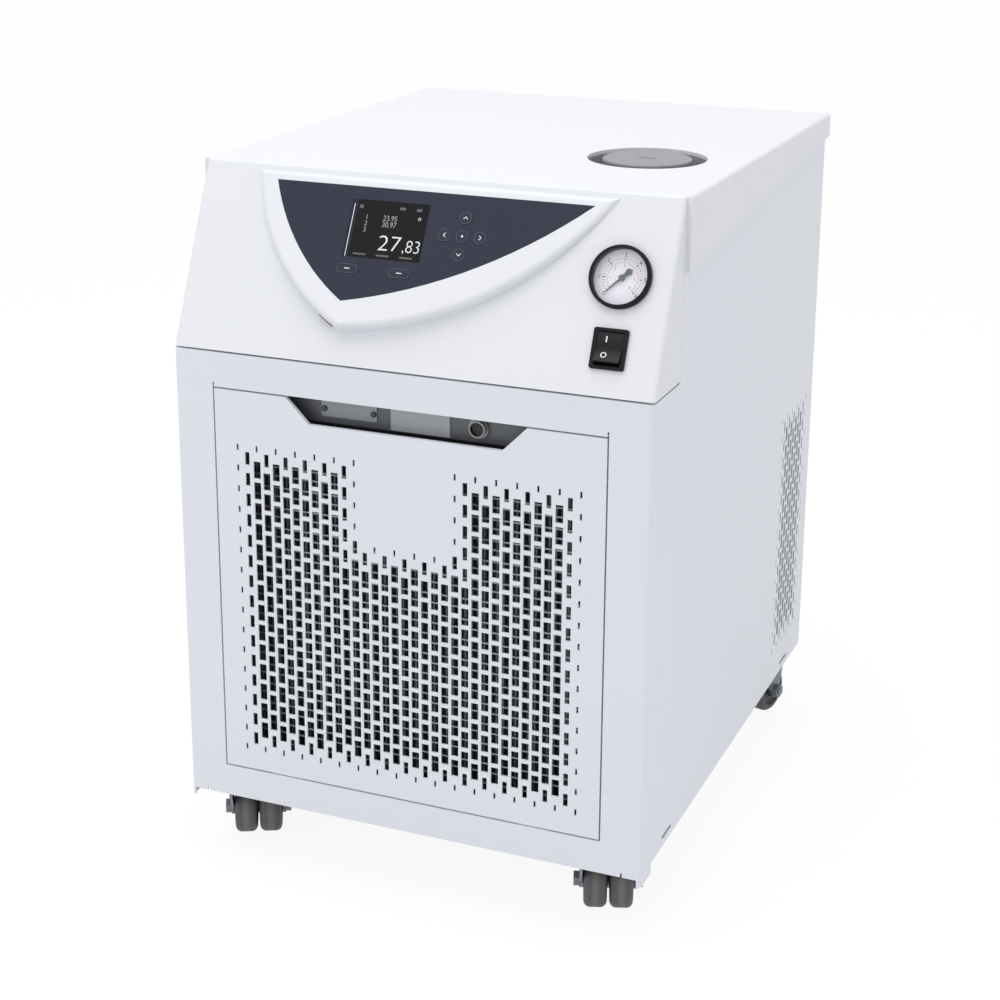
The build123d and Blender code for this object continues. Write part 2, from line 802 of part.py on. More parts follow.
def hose_fittings():
    """Outflow and return: two threaded water fittings, each with a hexagon on the panel."""
    fittings = []
    for x in fitting_x:
        body = rod(fitting_thread, (x, panel_face, fitting_height), (x, rear + fitting_reach, fitting_height))
        body += rod(fitting_shank, (x, panel_face - 16, fitting_height), (x, panel_face, fitting_height))
        body += hexagon(fitting_hex, x, fitting_height, (panel_face, panel_face + 8))
        body += hexagon(fitting_hex, x, fitting_height, (panel_face - sheet - 6, panel_face - sheet))
        bore = rod(fitting_bore, (x, panel_face - 20, fitting_height), (x, rear + fitting_reach + 1, fitting_height))
        fittings.append(body - bore)
    return Compound(children=fittings)


def mains_gland():
    """The cable gland where the mains lead enters, empty."""
    x, z = gland_at
    body = rod(gland_thread, (x, panel_face - 12, z), (x, panel_face + 4, z))
    body += hexagon(16.0, x, z, (panel_face, panel_face + 5))
    dome = rod(13.5, (x, panel_face + 5, z), (x, panel_face + 22, z))
    body += fillet(dome.edges().filter_by(GeomType.CIRCLE).sort_by(Axis.Y)[-1], 4.0)
    return body - rod(gland_bore, (x, panel_face - 13, z), (x, panel_face + 23, z))


def drain_plug():
    """The drain outlet with its closing cap."""
    x, z = drain_at
    body = rod(drain_thread, (x, panel_face - 12, z), (x, panel_face + 10, z))
    body += hexagon(14.0, x, z, (panel_face, panel_face + 6))
    cap = rod(12.5, (x, panel_face + 8, z), (x, panel_face + 24, z))
    return body + fillet(cap.edges().filter_by(GeomType.CIRCLE).sort_by(Axis.Y)[-1], 2.0)


# The condenser with its fan behind the grille

condenser_half = half_width - 49.0
condenser_low = 84.0
condenser_high = window_high - 22.8
condenser_front = front + 36.0
condenser_depth = 42.0
end_plate = 2.0
fin_pitch = 6.0
fin_gap = 4.4
fin_groove = 8.0
tube_rows = 14
tube_radius = 4.8
tube_y = condenser_front + 22.0
tube_pitch = (condenser_high - condenser_low) / tube_rows
shroud_half = half_width - 21.0
shroud_wall = 1.5
shroud_back = front + 104.0
fan_centre = (condenser_low + condenser_high) / 2
fan_ring = (condenser_high - condenser_low) / 2 - 38.0
fan_clearance = 5.0
hub_radius = 34.0
hub_front = front + 86.0
hub_rear = front + 120.0
blade_count = 5
blade_pitch = 32.0
shaft_radius = 6.0


def tube_height(row):
    return condenser_low + tube_pitch * (row + 0.5)


def condenser_fins():
    """The fin pack between two end plates, open in front between its fins."""
    back = condenser_front + condenser_depth
    pack = block((-condenser_half, condenser_half), (condenser_front, back), (condenser_low, condenser_high))
    count = int(2 * (condenser_half - end_plate) / fin_pitch)
    first = -(count - 1) * fin_pitch / 2
    grooves = [block((first + i * fin_pitch - fin_gap / 2, first + i * fin_pitch + fin_gap / 2),
                     (condenser_front - 1, condenser_front + fin_groove),
                     (condenser_low + end_plate, condenser_high - end_plate)) for i in range(count)]
    bores = [rod(tube_radius + 0.1, (-condenser_half - 1, tube_y, tube_height(row)),
                 (condenser_half + 1, tube_y, tube_height(row))) for row in range(tube_rows)]
    return pack - grooves - bores


def condenser_tubes():
    """One serpentine of copper tube: straight runs through the fins and a bend at each turn."""
    reach = condenser_half + 3.0
    runs = [rod(tube_radius, (-reach, tube_y, tube_height(row)), (reach, tube_y, tube_height(row)))
            for row in range(tube_rows)]
    for row in range(tube_rows - 1):
        side = 1 if row % 2 == 0 else -1
        middle = tube_height(row) + tube_pitch / 2
        ring = Plane(origin=(side * reach, tube_y, middle), x_dir=(1, 0, 0), z_dir=(0, -1, 0))
        bend = ring * Torus(tube_pitch / 2, tube_radius)
        keep = sorted((side * reach, side * (reach + tube_pitch)))
        runs.append(bend & block(keep, (tube_y - tube_pitch, tube_y + tube_pitch),
                                 (middle - tube_pitch, middle + tube_pitch)))
    return runs[0] + runs[1:]


def fan_shroud():
    """The sheet surround that carries the condenser and guides its air to the fan."""
    mouth = front + 34.0
    sides = (-shroud_half, shroud_half)
    low, high = tray_floor, condenser_high + 10.0
    body = block(sides, (mouth, shroud_back), (low, high))
    body -= block((-shroud_half + shroud_wall, shroud_half - shroud_wall), (mouth - 1, shroud_back - shroud_wall),
                  (low + shroud_wall, high - shroud_wall))
    ring_outer = rod(fan_ring + shroud_wall, (0, shroud_back - shroud_wall, fan_centre), (0, shroud_back + 14, fan_centre))
    ring_inner = rod(fan_ring, (0, shroud_back - 20, fan_centre), (0, shroud_back + 15, fan_centre))
    holes = [rod(copper_radius + 3.0, (-shroud_half - 1, tube_y, z), (-shroud_half + 3, tube_y, z))
             for z in (tube_height(0), tube_height(tube_rows - 1))]
    body = body + ring_outer - ring_inner - holes
    sills = [
        block((-condenser_half, condenser_half), (condenser_front, condenser_front + condenser_depth), limits)
        for limits in ((low + shroud_wall, condenser_low), (condenser_high, high - shroud_wall))
    ]
    return body + sills


def fan_motor():
    """The fan motor on its three arms, with its shaft."""
    case = rod(44.0, (0, front + 126, fan_centre), (0, front + 180, fan_centre))
    case = fillet(case.edges().filter_by(GeomType.CIRCLE).sort_by(Axis.Y)[-1], 6.0)
    shaft = rod(shaft_radius, (0, hub_front + 4, fan_centre), (0, front + 127, fan_centre))
    arm_length = fan_ring + 20.0
    arms = []
    for turn in (90, 210, 330):
        arm = block((30.0, arm_length), (front + 130, front + 134), (-9.0, 9.0))
        foot = block((fan_ring + 6, arm_length), (shroud_back, front + 134), (-9.0, 9.0))
        arms.append(Pos(0, 0, fan_centre) * Rot(0, turn, 0) * (arm + foot))
    return case + shaft + arms


def fan_rotor():
    """The fan: a hub with pitched blades that sweep inside the ring."""
    hub = rod(hub_radius, (0, hub_front, fan_centre), (0, hub_rear, fan_centre))
    hub = fillet(hub.edges().filter_by(GeomType.CIRCLE).sort_by(Axis.Y)[0], 5.0)
    blades = []
    for i in range(blade_count):
        blade = Pos((hub_radius + fan_ring) / 2 - 4, (hub_front + hub_rear) / 2, 0) * Rot(blade_pitch, 0, 0) * \
            Box(fan_ring - hub_radius + 8, 2.5, 52.0)
        blades.append(Pos(0, 0, fan_centre) * Rot(0, i * 360 / blade_count, 0) * blade)
    sweep_limit = rod(fan_ring - fan_clearance, (0, hub_front - 8, fan_centre), (0, hub_rear + 4, fan_centre))
    wheel = (blades[0] + blades[1:]) & sweep_limit
    wheel = wheel + hub
    return wheel - rod(shaft_radius + running_gap, (0, hub_front + 3, fan_centre), (0, hub_rear + 9, fan_centre))


# Refrigeration and water circuits

compressor_at = (116.0 - half_width, front + 330.0)
compressor_radius = 78.0
compressor_low = 91.0
compressor_high = 300.0
mount_inset = 66.0
mount_height = 14.0
pump_at = (half_width - 111.0, front + 250.0)
pump_axis_height = 135.0
pump_radius = 44.0
evaporator_x = (-12.0, 72.0)
evaporator_y = (front + 420.0, front + 505.0)
evaporator_high = shelf_height - 64.0
port_radius = 8.0
copper_radius = 5.0
hose_radius = 11.0


def compressor():
    """A hermetic compressor: domed shell, foot plate, terminal box and pipe stubs."""
    x, y = compressor_at
    shell = rod(compressor_radius, (x, y, compressor_low), (x, y, compressor_high))
    shell = fillet(shell.edges().filter_by(GeomType.CIRCLE), 34.0)
    band = rod(compressor_radius + 2.5, (x, y, 196.0), (x, y, 204.0))
    plate_low = tray_floor + mount_height
    plate = block((x - 85, x + 85), (y - 85, y + 85), (plate_low, plate_low + 4))
    plate = fillet(plate.edges().filter_by(Axis.Z), 24.0)
    plate -= [rod(5.2, (x + i * mount_inset, y + j * mount_inset, plate_low - 1),
                  (x + i * mount_inset, y + j * mount_inset, plate_low + 5)) for i in (-1, 1) for j in (-1, 1)]
    box = block((x - 30, x + 30), (y + compressor_radius - 12, y + compressor_radius + 22), (190.0, 250.0))
    return shell + band + plate + box


def compressor_mounts():
    """Four rubber mounts, each a sleeve through the foot plate on a wide base."""
    x, y = compressor_at
    mounts = []
    for i in (-1, 1):
        for j in (-1, 1):
            px, py = x + i * mount_inset, y + j * mount_inset
            top = tray_floor + mount_height
            base = rod(11.0, (px, py, tray_floor), (px, py, top))
            mounts.append(base + rod(5.0, (px, py, top), (px, py, top + 8)))
    return Compound(children=mounts)


def circulation_pump():
    """The pump: volute and motor on one horizontal axis, on a foot that stands on the tray."""
    x, y = pump_at
    z = pump_axis_height
    volute = rod(pump_radius + 8, (x, y - 18, z), (x, y + 14, z))
    volute = fillet(volute.edges().filter_by(GeomType.CIRCLE), 5.0)
    motor = rod(pump_radius, (x, y + 14, z), (x, y + 122, z))
    motor = fillet(motor.edges().filter_by(GeomType.CIRCLE).sort_by(Axis.Y)[-1], 8.0)
    ribs = [rod(pump_radius + 3, (x, y + 30 + 12 * i, z), (x, y + 34 + 12 * i, z)) for i in range(6)]
    foot = block((x - 34, x + 34), (y + 20, y + 100), (tray_floor, z - 20))
    inlet = rod(hose_radius, (x, y, z + 20), (x, y, z + 78))
    outlet = rod(hose_radius, (x - 30, y, z), (x - 30, y, z + 78))
    return volute + motor + ribs + foot + inlet + outlet


def evaporator():
    """A brazed plate heat exchanger with four ports, on an angle that stands on the tray."""
    core = block(evaporator_x, evaporator_y, (tray_floor + 12, evaporator_high))
    core = fillet(core.edges().filter_by(Axis.Z), 14.0)
    grooves = []
    for i in range(18):
        z = tray_floor + 30 + i * 14.0
        ring = block((evaporator_x[0] - 1, evaporator_x[1] + 1), (evaporator_y[0] - 1, evaporator_y[1] + 1), (z, z + 2))
        core_inner = block((evaporator_x[0] + 1.5, evaporator_x[1] - 1.5),
                           (evaporator_y[0] + 1.5, evaporator_y[1] - 1.5), (z - 1, z + 3))
        grooves.append(ring - core_inner)
    foot = block((evaporator_x[0] + 8, evaporator_x[1] - 8), (evaporator_y[0] + 12, evaporator_y[1] - 12),
                 (tray_floor, tray_floor + 12))
    middle_x = sum(evaporator_x) / 2
    ports = [rod(port_radius, (middle_x + i * 22, y, evaporator_high), (middle_x + i * 22, y, evaporator_high + 14))
             for i in (-1, 1) for y in (evaporator_y[0] + 22, evaporator_y[1] - 22)]
    return core - grooves + foot + ports


pipe_x = 13.0 - half_width
low_line = tube_height(0)
high_line = tube_height(tube_rows - 1)
pipe_top = shelf_height - 28.0
pipe_cross = compressor_high + 45.0
pipe_rear = evaporator_y[1] + 11.0
port_top = evaporator_high + 14.0 + fit_gap
port_middle = sum(evaporator_x) / 2
port_left = port_middle - 22.0
port_right = port_middle + 22.0
port_front = evaporator_y[0] + 22.0
port_back = evaporator_y[1] - 22.0


def refrigerant_pipes():
    """Copper lines: compressor to condenser, condenser to evaporator, evaporator to compressor."""
    x, y = compressor_at
    wall = 1.0
    bend = 12.0
    top = compressor_high + fit_gap
    tube_end = -condenser_half - 3.0 - fit_gap
    discharge = pipe([(x - 20, y, top), (x - 20, y, pipe_cross), (pipe_x, y, pipe_cross), (pipe_x, tube_y, pipe_cross),
                      (pipe_x, tube_y, high_line), (tube_end, tube_y, high_line)], bend, copper_radius, wall)
    suction = pipe([(x + 25, y, top), (x + 25, y, pipe_top), (port_left, y, pipe_top),
                    (port_left, port_front, pipe_top), (port_left, port_front, port_top)], bend, copper_radius, wall)
    liquid = pipe([(tube_end, tube_y, low_line), (pipe_x, tube_y, low_line), (pipe_x, pipe_rear, low_line),
                   (port_left, pipe_rear, low_line), (port_left, pipe_rear, pipe_top),
                   (port_left, port_back, pipe_top), (port_left, port_back, port_top)], bend, copper_radius, wall)
    return Compound(children=[discharge, suction, liquid])


def water_hoses():
    """Hoses: tank to pump, pump to evaporator, evaporator to outflow and return to tank."""
    x, y = pump_at
    wall = 2.5
    bend = 14.0
    thin = hose_radius - 1
    stub_top = pump_axis_height + 78 + fit_gap
    suction = rod(hose_radius, (x, y, stub_top), (x, y, shelf_height - fit_gap))
    suction -= rod(hose_radius - wall, (x, y, stub_top - 1), (x, y, shelf_height + 1))
    delivery = pipe([(x - 30, y, stub_top), (x - 30, y, pipe_top), (port_right, port_front, pipe_top),
                     (port_right, port_front, port_top)], bend, thin, wall)
    out_x, back_x = fitting_x
    inside = panel_face - 16 - fit_gap
    outflow = pipe([(port_right, port_back, port_top), (port_right, port_back, fitting_height),
                    (out_x, inside, fitting_height)], bend, thin, wall)
    back = rod(hose_radius, (back_x, tank_y[1] + fit_gap, fitting_height), (back_x, inside, fitting_height))
    back -= rod(hose_radius - wall, (back_x, tank_y[1], fitting_height), (back_x, inside + 1, fitting_height))
    return Compound(children=[suction, delivery, outflow, back])


# Castors: swivelling forks with twin wheels, the front pair with a brake pedal

castor_inset_x = 44.0
castor_inset_y = 45.5
castor_trail = 18.0
wheel_radius = 25.0
wheel_width = 21.0
wheel_gap = 2.4
tread_radius = 6.0
hub_proud = 1.0
axle_radius = 4.0
leg_thickness = 2.5
plate_size = 60.0
castor_plate = 2.5
king_pin = 5.0
fork_top = castor_height - castor_plate - fit_gap
pedal_pivot = (-27.0, 53.0)
pedal_width = 40.0

# Each castor: where it swivels, and the turn that its wheels rest at
castors = {
    "front_left": (-half_width + castor_inset_x, front + castor_inset_y, 207.0),
    "front_right": (half_width - castor_inset_x, front + castor_inset_y, 200.0),
    "rear_left": (-half_width + castor_inset_x, rear - castor_inset_y, 180.0),
    "rear_right": (half_width - castor_inset_x, rear - castor_inset_y, 165.0),
}
leg_inside = wheel_gap / 2 + wheel_width + hub_proud + fit_gap


def place_castor(shape, castor):
    """Put a castor part, made with its wheels in front of the swivel, at its place and turn."""
    x, y, turn = castor
    return Pos(x, y, 0) * Rot(0, 0, turn) * shape


def castor_plates():
    """The four fixing plates, each with the king pin that its fork turns on."""
    plates = []
    for castor in castors.values():
        half = plate_size / 2
        plate = block((-half, half), (-half, half), (castor_height - castor_plate, castor_height))
        plate = fillet(plate.edges().filter_by(Axis.Z), 5.0)
        head_low = fork_top - 12.0
        plate += rod(king_pin, (0, 0, head_low), (0, 0, castor_height - castor_plate))
        plate += rod(king_pin + 3, (0, 0, head_low - 2.5), (0, 0, head_low))
        plates.append(Pos(castor[0], castor[1], 0) * plate)
    return Compound(children=plates)


def castor_fork(castor):
    """A pressed fork with its legs outside the wheels, and the bolt and nut of its axle."""
    head_low = fork_top - 11.7
    head = rod(23.0, (0, 0, head_low), (0, 0, fork_top))
    head = fillet(head.edges().filter_by(GeomType.CIRCLE).sort_by(Axis.Z)[0], 4.0)
    outside = leg_inside + leg_thickness
    y, z = -castor_trail, wheel_radius
    shape = make_face([
        Line((20.0, head_low + 3), (-31.0, head_low + 3)),
        Line((-31.0, head_low + 3), (-31.0, 49.0)),
        Line((-31.0, 49.0), (y - 8.0, z)),
        ThreePointArc((y - 8.0, z), (y, z - 8.0), (y + 8.0, z)),
        Line((y + 8.0, z), (12.0, 48.0)),
        Line((12.0, 48.0), (20.0, head_low + 3)),
    ])
    cheeks = carried(shape, (-outside, outside))
    cheeks -= block((-leg_inside, leg_inside), (-60, 60), (-1, head_low))
    fork = head + cheeks
    fork -= rod(king_pin + running_gap, (0, 0, head_low - 5), (0, 0, fork_top + 1))
    reach = outside + 1
    fork -= rod(axle_radius + running_gap, (-reach, y, z), (reach, y, z))
    fork -= rod(2.6, (-reach, pedal_pivot[0], pedal_pivot[1]), (reach, pedal_pivot[0], pedal_pivot[1]))
    head_plane = Plane(origin=(outside, y, z), z_dir=(1, 0, 0))
    axle = rod(axle_radius, (-outside - 6, y, z), (outside, y, z))
    axle += extrude(head_plane * RegularPolygon(7.5, 6), 5.3)
    nut_plane = Plane(origin=(-outside, y, z), z_dir=(-1, 0, 0))
    axle += extrude(nut_plane * RegularPolygon(7.5, 6), 5.0)
    return Compound(children=[place_castor(fork, castor), place_castor(axle, castor)])


def castor_wheel(castor, side):
    """One wheel: a rounded tread on a web with a bored hub."""
    inner = wheel_gap / 2
    outer = inner + wheel_width
    rim = 17.0
    recess = 3.0
    hub = 8.0
    r, t = wheel_radius, tread_radius
    c = t * (1 - math.sqrt(0.5))
    profile = make_face([
        Line((inner - hub_proud, axle_radius + running_gap), (inner - hub_proud, hub)),
        Line((inner - hub_proud, hub), (inner + recess, hub)),
        Line((inner + recess, hub), (inner + recess, rim)),
        Line((inner + recess, rim), (inner, rim + 1)),
        Line((inner, rim + 1), (inner, r - t)),
        ThreePointArc((inner, r - t), (inner + c, r - c), (inner + t, r)),
        Line((inner + t, r), (outer - t, r)),
        ThreePointArc((outer - t, r), (outer - c, r - c), (outer, r - t)),
        Line((outer, r - t), (outer, rim + 1)),
        Line((outer, rim + 1), (outer - recess, rim)),
        Line((outer - recess, rim), (outer - recess, hub)),
        Line((outer - recess, hub), (outer + hub_proud, hub)),
        Line((outer + hub_proud, hub), (outer + hub_proud, axle_radius + running_gap)),
        Line((outer + hub_proud, axle_radius + running_gap), (inner - hub_proud, axle_radius + running_gap)),
    ])
    wheel = revolve(profile, Axis.X)
    if side < 0:
        wheel = mirror(wheel, Plane.YZ)
    return place_castor(Pos(0, -castor_trail, wheel_radius) * wheel, castor)


def brake_pedal(castor):
    """The foot pedal over the front wheels, with its two pivot studs and its shoe."""
    y, z = pedal_pivot
    profile = make_face(Polyline(
        (y + 4.0, z - 3.0), (y + 4.0, z + 2.0), (y - 8.0, z + 3.0), (y - 31.0, z - 3.0), (y - 33.0, z - 7.0),
        (y - 30.0, z - 8.0), (y - 12.0, z - 4.5), (y - 8.0, z - 5.5), (y - 5.0, z - 3.5), close=True,
    ))
    body = carried(profile, (-pedal_width / 2, pedal_width / 2))
    reach = leg_inside + leg_thickness - 0.3
    return place_castor(body + rod(2.5, (-reach, y, z), (reach, y, z)), castor)


nodes = {
    "casing": casing(),
    "hood": hood(),
    "front_grille": front_grille(),
    "control_panel": control_panel(),
    "display_window": display_window(),
    "display_module": display_module(),
    "control_board": control_board(),
    "gauge_case": gauge_case(),
    "gauge_dial": gauge_dial(),
    "gauge_lens": gauge_lens(),
    "gauge_needle": gauge_needle(),
    "switch_frame": switch_frame(),
    "switch_rocker": switch_rocker(),
    "filler_collar": filler_collar(),
    "filler_cap": filler_cap(),
    "tank": tank(),
    "interface_panel": interface_panel(),
    "blanking_plate": blanking_plate(),
    "panel_screws": panel_screws(),
    "module_cover": module_cover(),
    "signal_connector": signal_connector(),
    "rear_panel": rear_panel(),
    "base_tray": base_tray(),
    "mid_shelf": mid_shelf(),
    "hose_fittings": hose_fittings(),
    "mains_gland": mains_gland(),
    "drain_plug": drain_plug(),
    "condenser_fins": condenser_fins(),
    "condenser_tubes": condenser_tubes(),
    "fan_shroud": fan_shroud(),
    "fan_motor": fan_motor(),
    "fan_rotor": fan_rotor(),
    "compressor": compressor(),
    "compressor_mounts": compressor_mounts(),
    "circulation_pump": circulation_pump(),
    "evaporator": evaporator(),
    "refrigerant_pipes": refrigerant_pipes(),
    "water_hoses": water_hoses(),
    "castor_plates": castor_plates(),
}
for name, at in keys.items():
    nodes[name] = key(name, at)
for place, castor in castors.items():
    nodes["castor_fork_" + place] = castor_fork(castor)
    nodes["castor_wheel_" + place + "_left"] = castor_wheel(castor, -1)
    nodes["castor_wheel_" + place + "_right"] = castor_wheel(castor, 1)
for place in ("front_left", "front_right"):
    nodes["brake_pedal_" + place] = brake_pedal(castors[place])

os.makedirs("parts", exist_ok=True)
for name, shape in nodes.items():
    shape.label = name
    export_step(shape, os.path.join("parts", name + ".step"))
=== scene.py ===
"""The looks of a recirculating chiller on castors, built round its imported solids.

Lengths named in millimetres are turned to metres by mm. The front faces -Y and up is +Z.
"""

import json
import math

import bpy
from mathutils import Matrix, Vector


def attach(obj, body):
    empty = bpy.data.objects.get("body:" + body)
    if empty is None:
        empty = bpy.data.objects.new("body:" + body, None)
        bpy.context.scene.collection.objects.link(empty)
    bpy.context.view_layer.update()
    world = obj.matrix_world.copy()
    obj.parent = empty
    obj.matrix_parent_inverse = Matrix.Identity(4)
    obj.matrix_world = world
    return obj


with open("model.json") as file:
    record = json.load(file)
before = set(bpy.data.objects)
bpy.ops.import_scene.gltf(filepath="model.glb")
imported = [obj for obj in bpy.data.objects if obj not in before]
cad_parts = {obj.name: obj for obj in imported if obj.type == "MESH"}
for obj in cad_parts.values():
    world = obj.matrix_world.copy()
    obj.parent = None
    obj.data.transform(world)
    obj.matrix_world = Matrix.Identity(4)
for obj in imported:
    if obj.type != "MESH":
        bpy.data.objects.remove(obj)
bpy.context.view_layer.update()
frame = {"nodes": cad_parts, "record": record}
mm = 0.001
micron = 0.000001
even = (1.0, 1.0, 1.0)
white = (1.0, 1.0, 1.0, 1.0)


# Node trees: arithmetic on sockets, and one way to add a node


class Wire:
    """One output socket, with arithmetic that adds Math nodes."""

    def __init__(self, nodes, socket):
        self.nodes = nodes
        self.socket = socket

    def maths(self, operation, *others):
        return self.nodes.add("ShaderNodeMath", {"operation": operation}, dict(enumerate((self, *others))))

    def __add__(self, other):
        return self.maths("ADD", other)

    def __sub__(self, other):
        return self.maths("SUBTRACT", other)

    def __rsub__(self, other):
        return self * -1.0 + other

    def __mul__(self, other):
        return self.maths("MULTIPLY", other)

    def __abs__(self):
        return self.maths("ABSOLUTE")

    def __lt__(self, other):
        return self.maths("LESS_THAN", other)


class Nodes:
    """A node tree under construction."""

    def __init__(self, tree):
        self.tree = tree

    def add(self, kind, settings=None, sockets=None, output=0):
        """Add a node: its settings first, then the values or wires of its sockets."""
        node = self.tree.nodes.new(kind)
        for name, value in (settings or {}).items():
            setattr(node, name, value)
        for name, value in (sockets or {}).items():
            if isinstance(value, Wire):
                self.tree.links.new(value.socket, node.inputs[name])
            else:
                node.inputs[name].default_value = value
        return Wire(self, node.outputs[output]) if len(node.outputs) else None


def shade(colour, level=1.0):
    """A colour given from 0 to 255 as it looks on a screen, as linear light with alpha."""
    knee, slope, offset, power = 0.04045, 12.92, 0.055, 2.4
    screen = [value / 255 for value in colour]
    light = [((value + offset) / (1 + offset)) ** power if value > knee else value / slope for value in screen]
    return (*(min(value * level, 1.0) for value in light), 1.0)


class Paint(Nodes):
    """A material with one main shader, read in the piece's own coordinates."""

    def __init__(self, name):
        self.material = bpy.data.materials.new(name)
        self.material.use_nodes = True
        super().__init__(self.material.node_tree)
        self.tree.nodes.clear()
        self.surface = self.add("ShaderNodeBsdfPrincipled")
        self.add("ShaderNodeOutputMaterial", sockets={"Surface": self.surface})
        self.place = self.add("ShaderNodeTexCoord", output="Object")

    def set(self, name, value):
        """Give the main shader's socket a value or a wire."""
        socket = self.surface.socket.node.inputs[name]
        if isinstance(value, Wire):
            self.tree.links.new(value.socket, socket)
        else:
            socket.default_value = value

    def vary(self, name, noise, least, spread):
        """Let the main shader's socket vary with a noise, from the least value over a spread."""
        self.set(name, noise * spread + least)

    def along(self, origin, direction):
        """Distance in millimetres from a point, along a direction."""
        shifted = self.add("ShaderNodeVectorMath", {"operation": "SUBTRACT"}, {0: self.place, 1: tuple(origin)})
        length = tuple(Vector(direction) / mm)
        return self.add("ShaderNodeVectorMath", {"operation": "DOT_PRODUCT"}, {0: shifted, 1: length}, "Value")

    def noise(self, scale, detail, stretch=even):
        at = self.add("ShaderNodeMapping", sockets={"Vector": self.place, "Scale": stretch})
        return self.add("ShaderNodeTexNoise", sockets={"Vector": at, "Scale": scale, "Detail": detail})

    def mix(self, factor, first, second):
        """Two colours mixed. The node's colour sockets share their names, so they go by number."""
        factor_in, first_in, second_in, colour_out = 0, 6, 7, 2
        sockets = {factor_in: factor, first_in: first, second_in: second}
        return self.add("ShaderNodeMix", {"data_type": "RGBA"}, sockets, colour_out)

    def soft_step(self, value, low, high):
        return self.add("ShaderNodeMapRange", {"interpolation_type": "SMOOTHSTEP"},
                        {"Value": value, "From Min": low, "From Max": high})

    def bump(self, height, depth):
        self.set("Normal", self.add("ShaderNodeBump", sockets={"Height": height, "Distance": depth}))


def finish(name, colour, roughness, grain, relief, mottle, metallic=0.0, specular=0.5, stretch=even):
    """A surface of one material: a little uneven in tone, with a fine grain in its gloss and relief.

    The relief is in microns, and the mottle is the share by which the tone varies.
    """
    cloud_scale = 7.0
    gloss_spread = 0.12
    paint = Paint(name)
    cloud = paint.noise(cloud_scale, detail=4.0, stretch=stretch)
    fine = paint.noise(grain, detail=2.0, stretch=stretch)
    paint.set("Base Color", paint.mix(cloud, shade(colour, 1 - mottle), shade(colour, 1 + mottle)))
    paint.vary("Roughness", fine, least=roughness - gloss_spread / 2, spread=gloss_spread)
    paint.bump(fine, relief * micron)
    paint.set("Metallic", metallic)
    paint.set("Specular IOR Level", specular)
    return paint


# The fascia's two planes, for what is placed across and up them

front = -290.0
seam = 494.0
slope_run = 70.0
slope_rise = 156.0
slope_length = math.hypot(slope_run, slope_rise)
across = Vector((1, 0, 0))
slope_up = Vector((0, slope_run, slope_rise)) / slope_length
slope_out = across.cross(slope_up)
bezel_fall = 11.0
bezel_rise = 135.0
bezel_tilt = math.atan2(bezel_fall, bezel_rise)
bezel_foot = 30.0
bezel_foot_proud = 14.0
bezel_origin_proud = bezel_foot_proud + bezel_foot * math.tan(bezel_tilt)


def stand(origin, right, up):
    """The place of something drawn flat: right and up become its X and Y."""
    turn = Matrix((right, up, right.cross(up))).transposed().to_4x4()
    turn.translation = Vector(origin) * mm
    return turn


slope_origin = Vector((0, front, seam))
slope = stand(slope_origin, across, slope_up)
bezel_up = slope_up * math.cos(bezel_tilt) - slope_out * math.sin(bezel_tilt)
bezel = stand(slope_origin + slope_out * bezel_origin_proud, across, bezel_up)


def shift(x, y, z=0.0):
    return Matrix.Translation(Vector((x, y, z)) * mm)


# Materials of one tone. Rolled and drawn metal have a grain that is longer up than across

front_paint = (222, 225, 233)
panel_tone = (41, 43, 60)
rolled = (1.0, 1.0, 0.35)
drawn = (1.0, 1.0, 0.1)

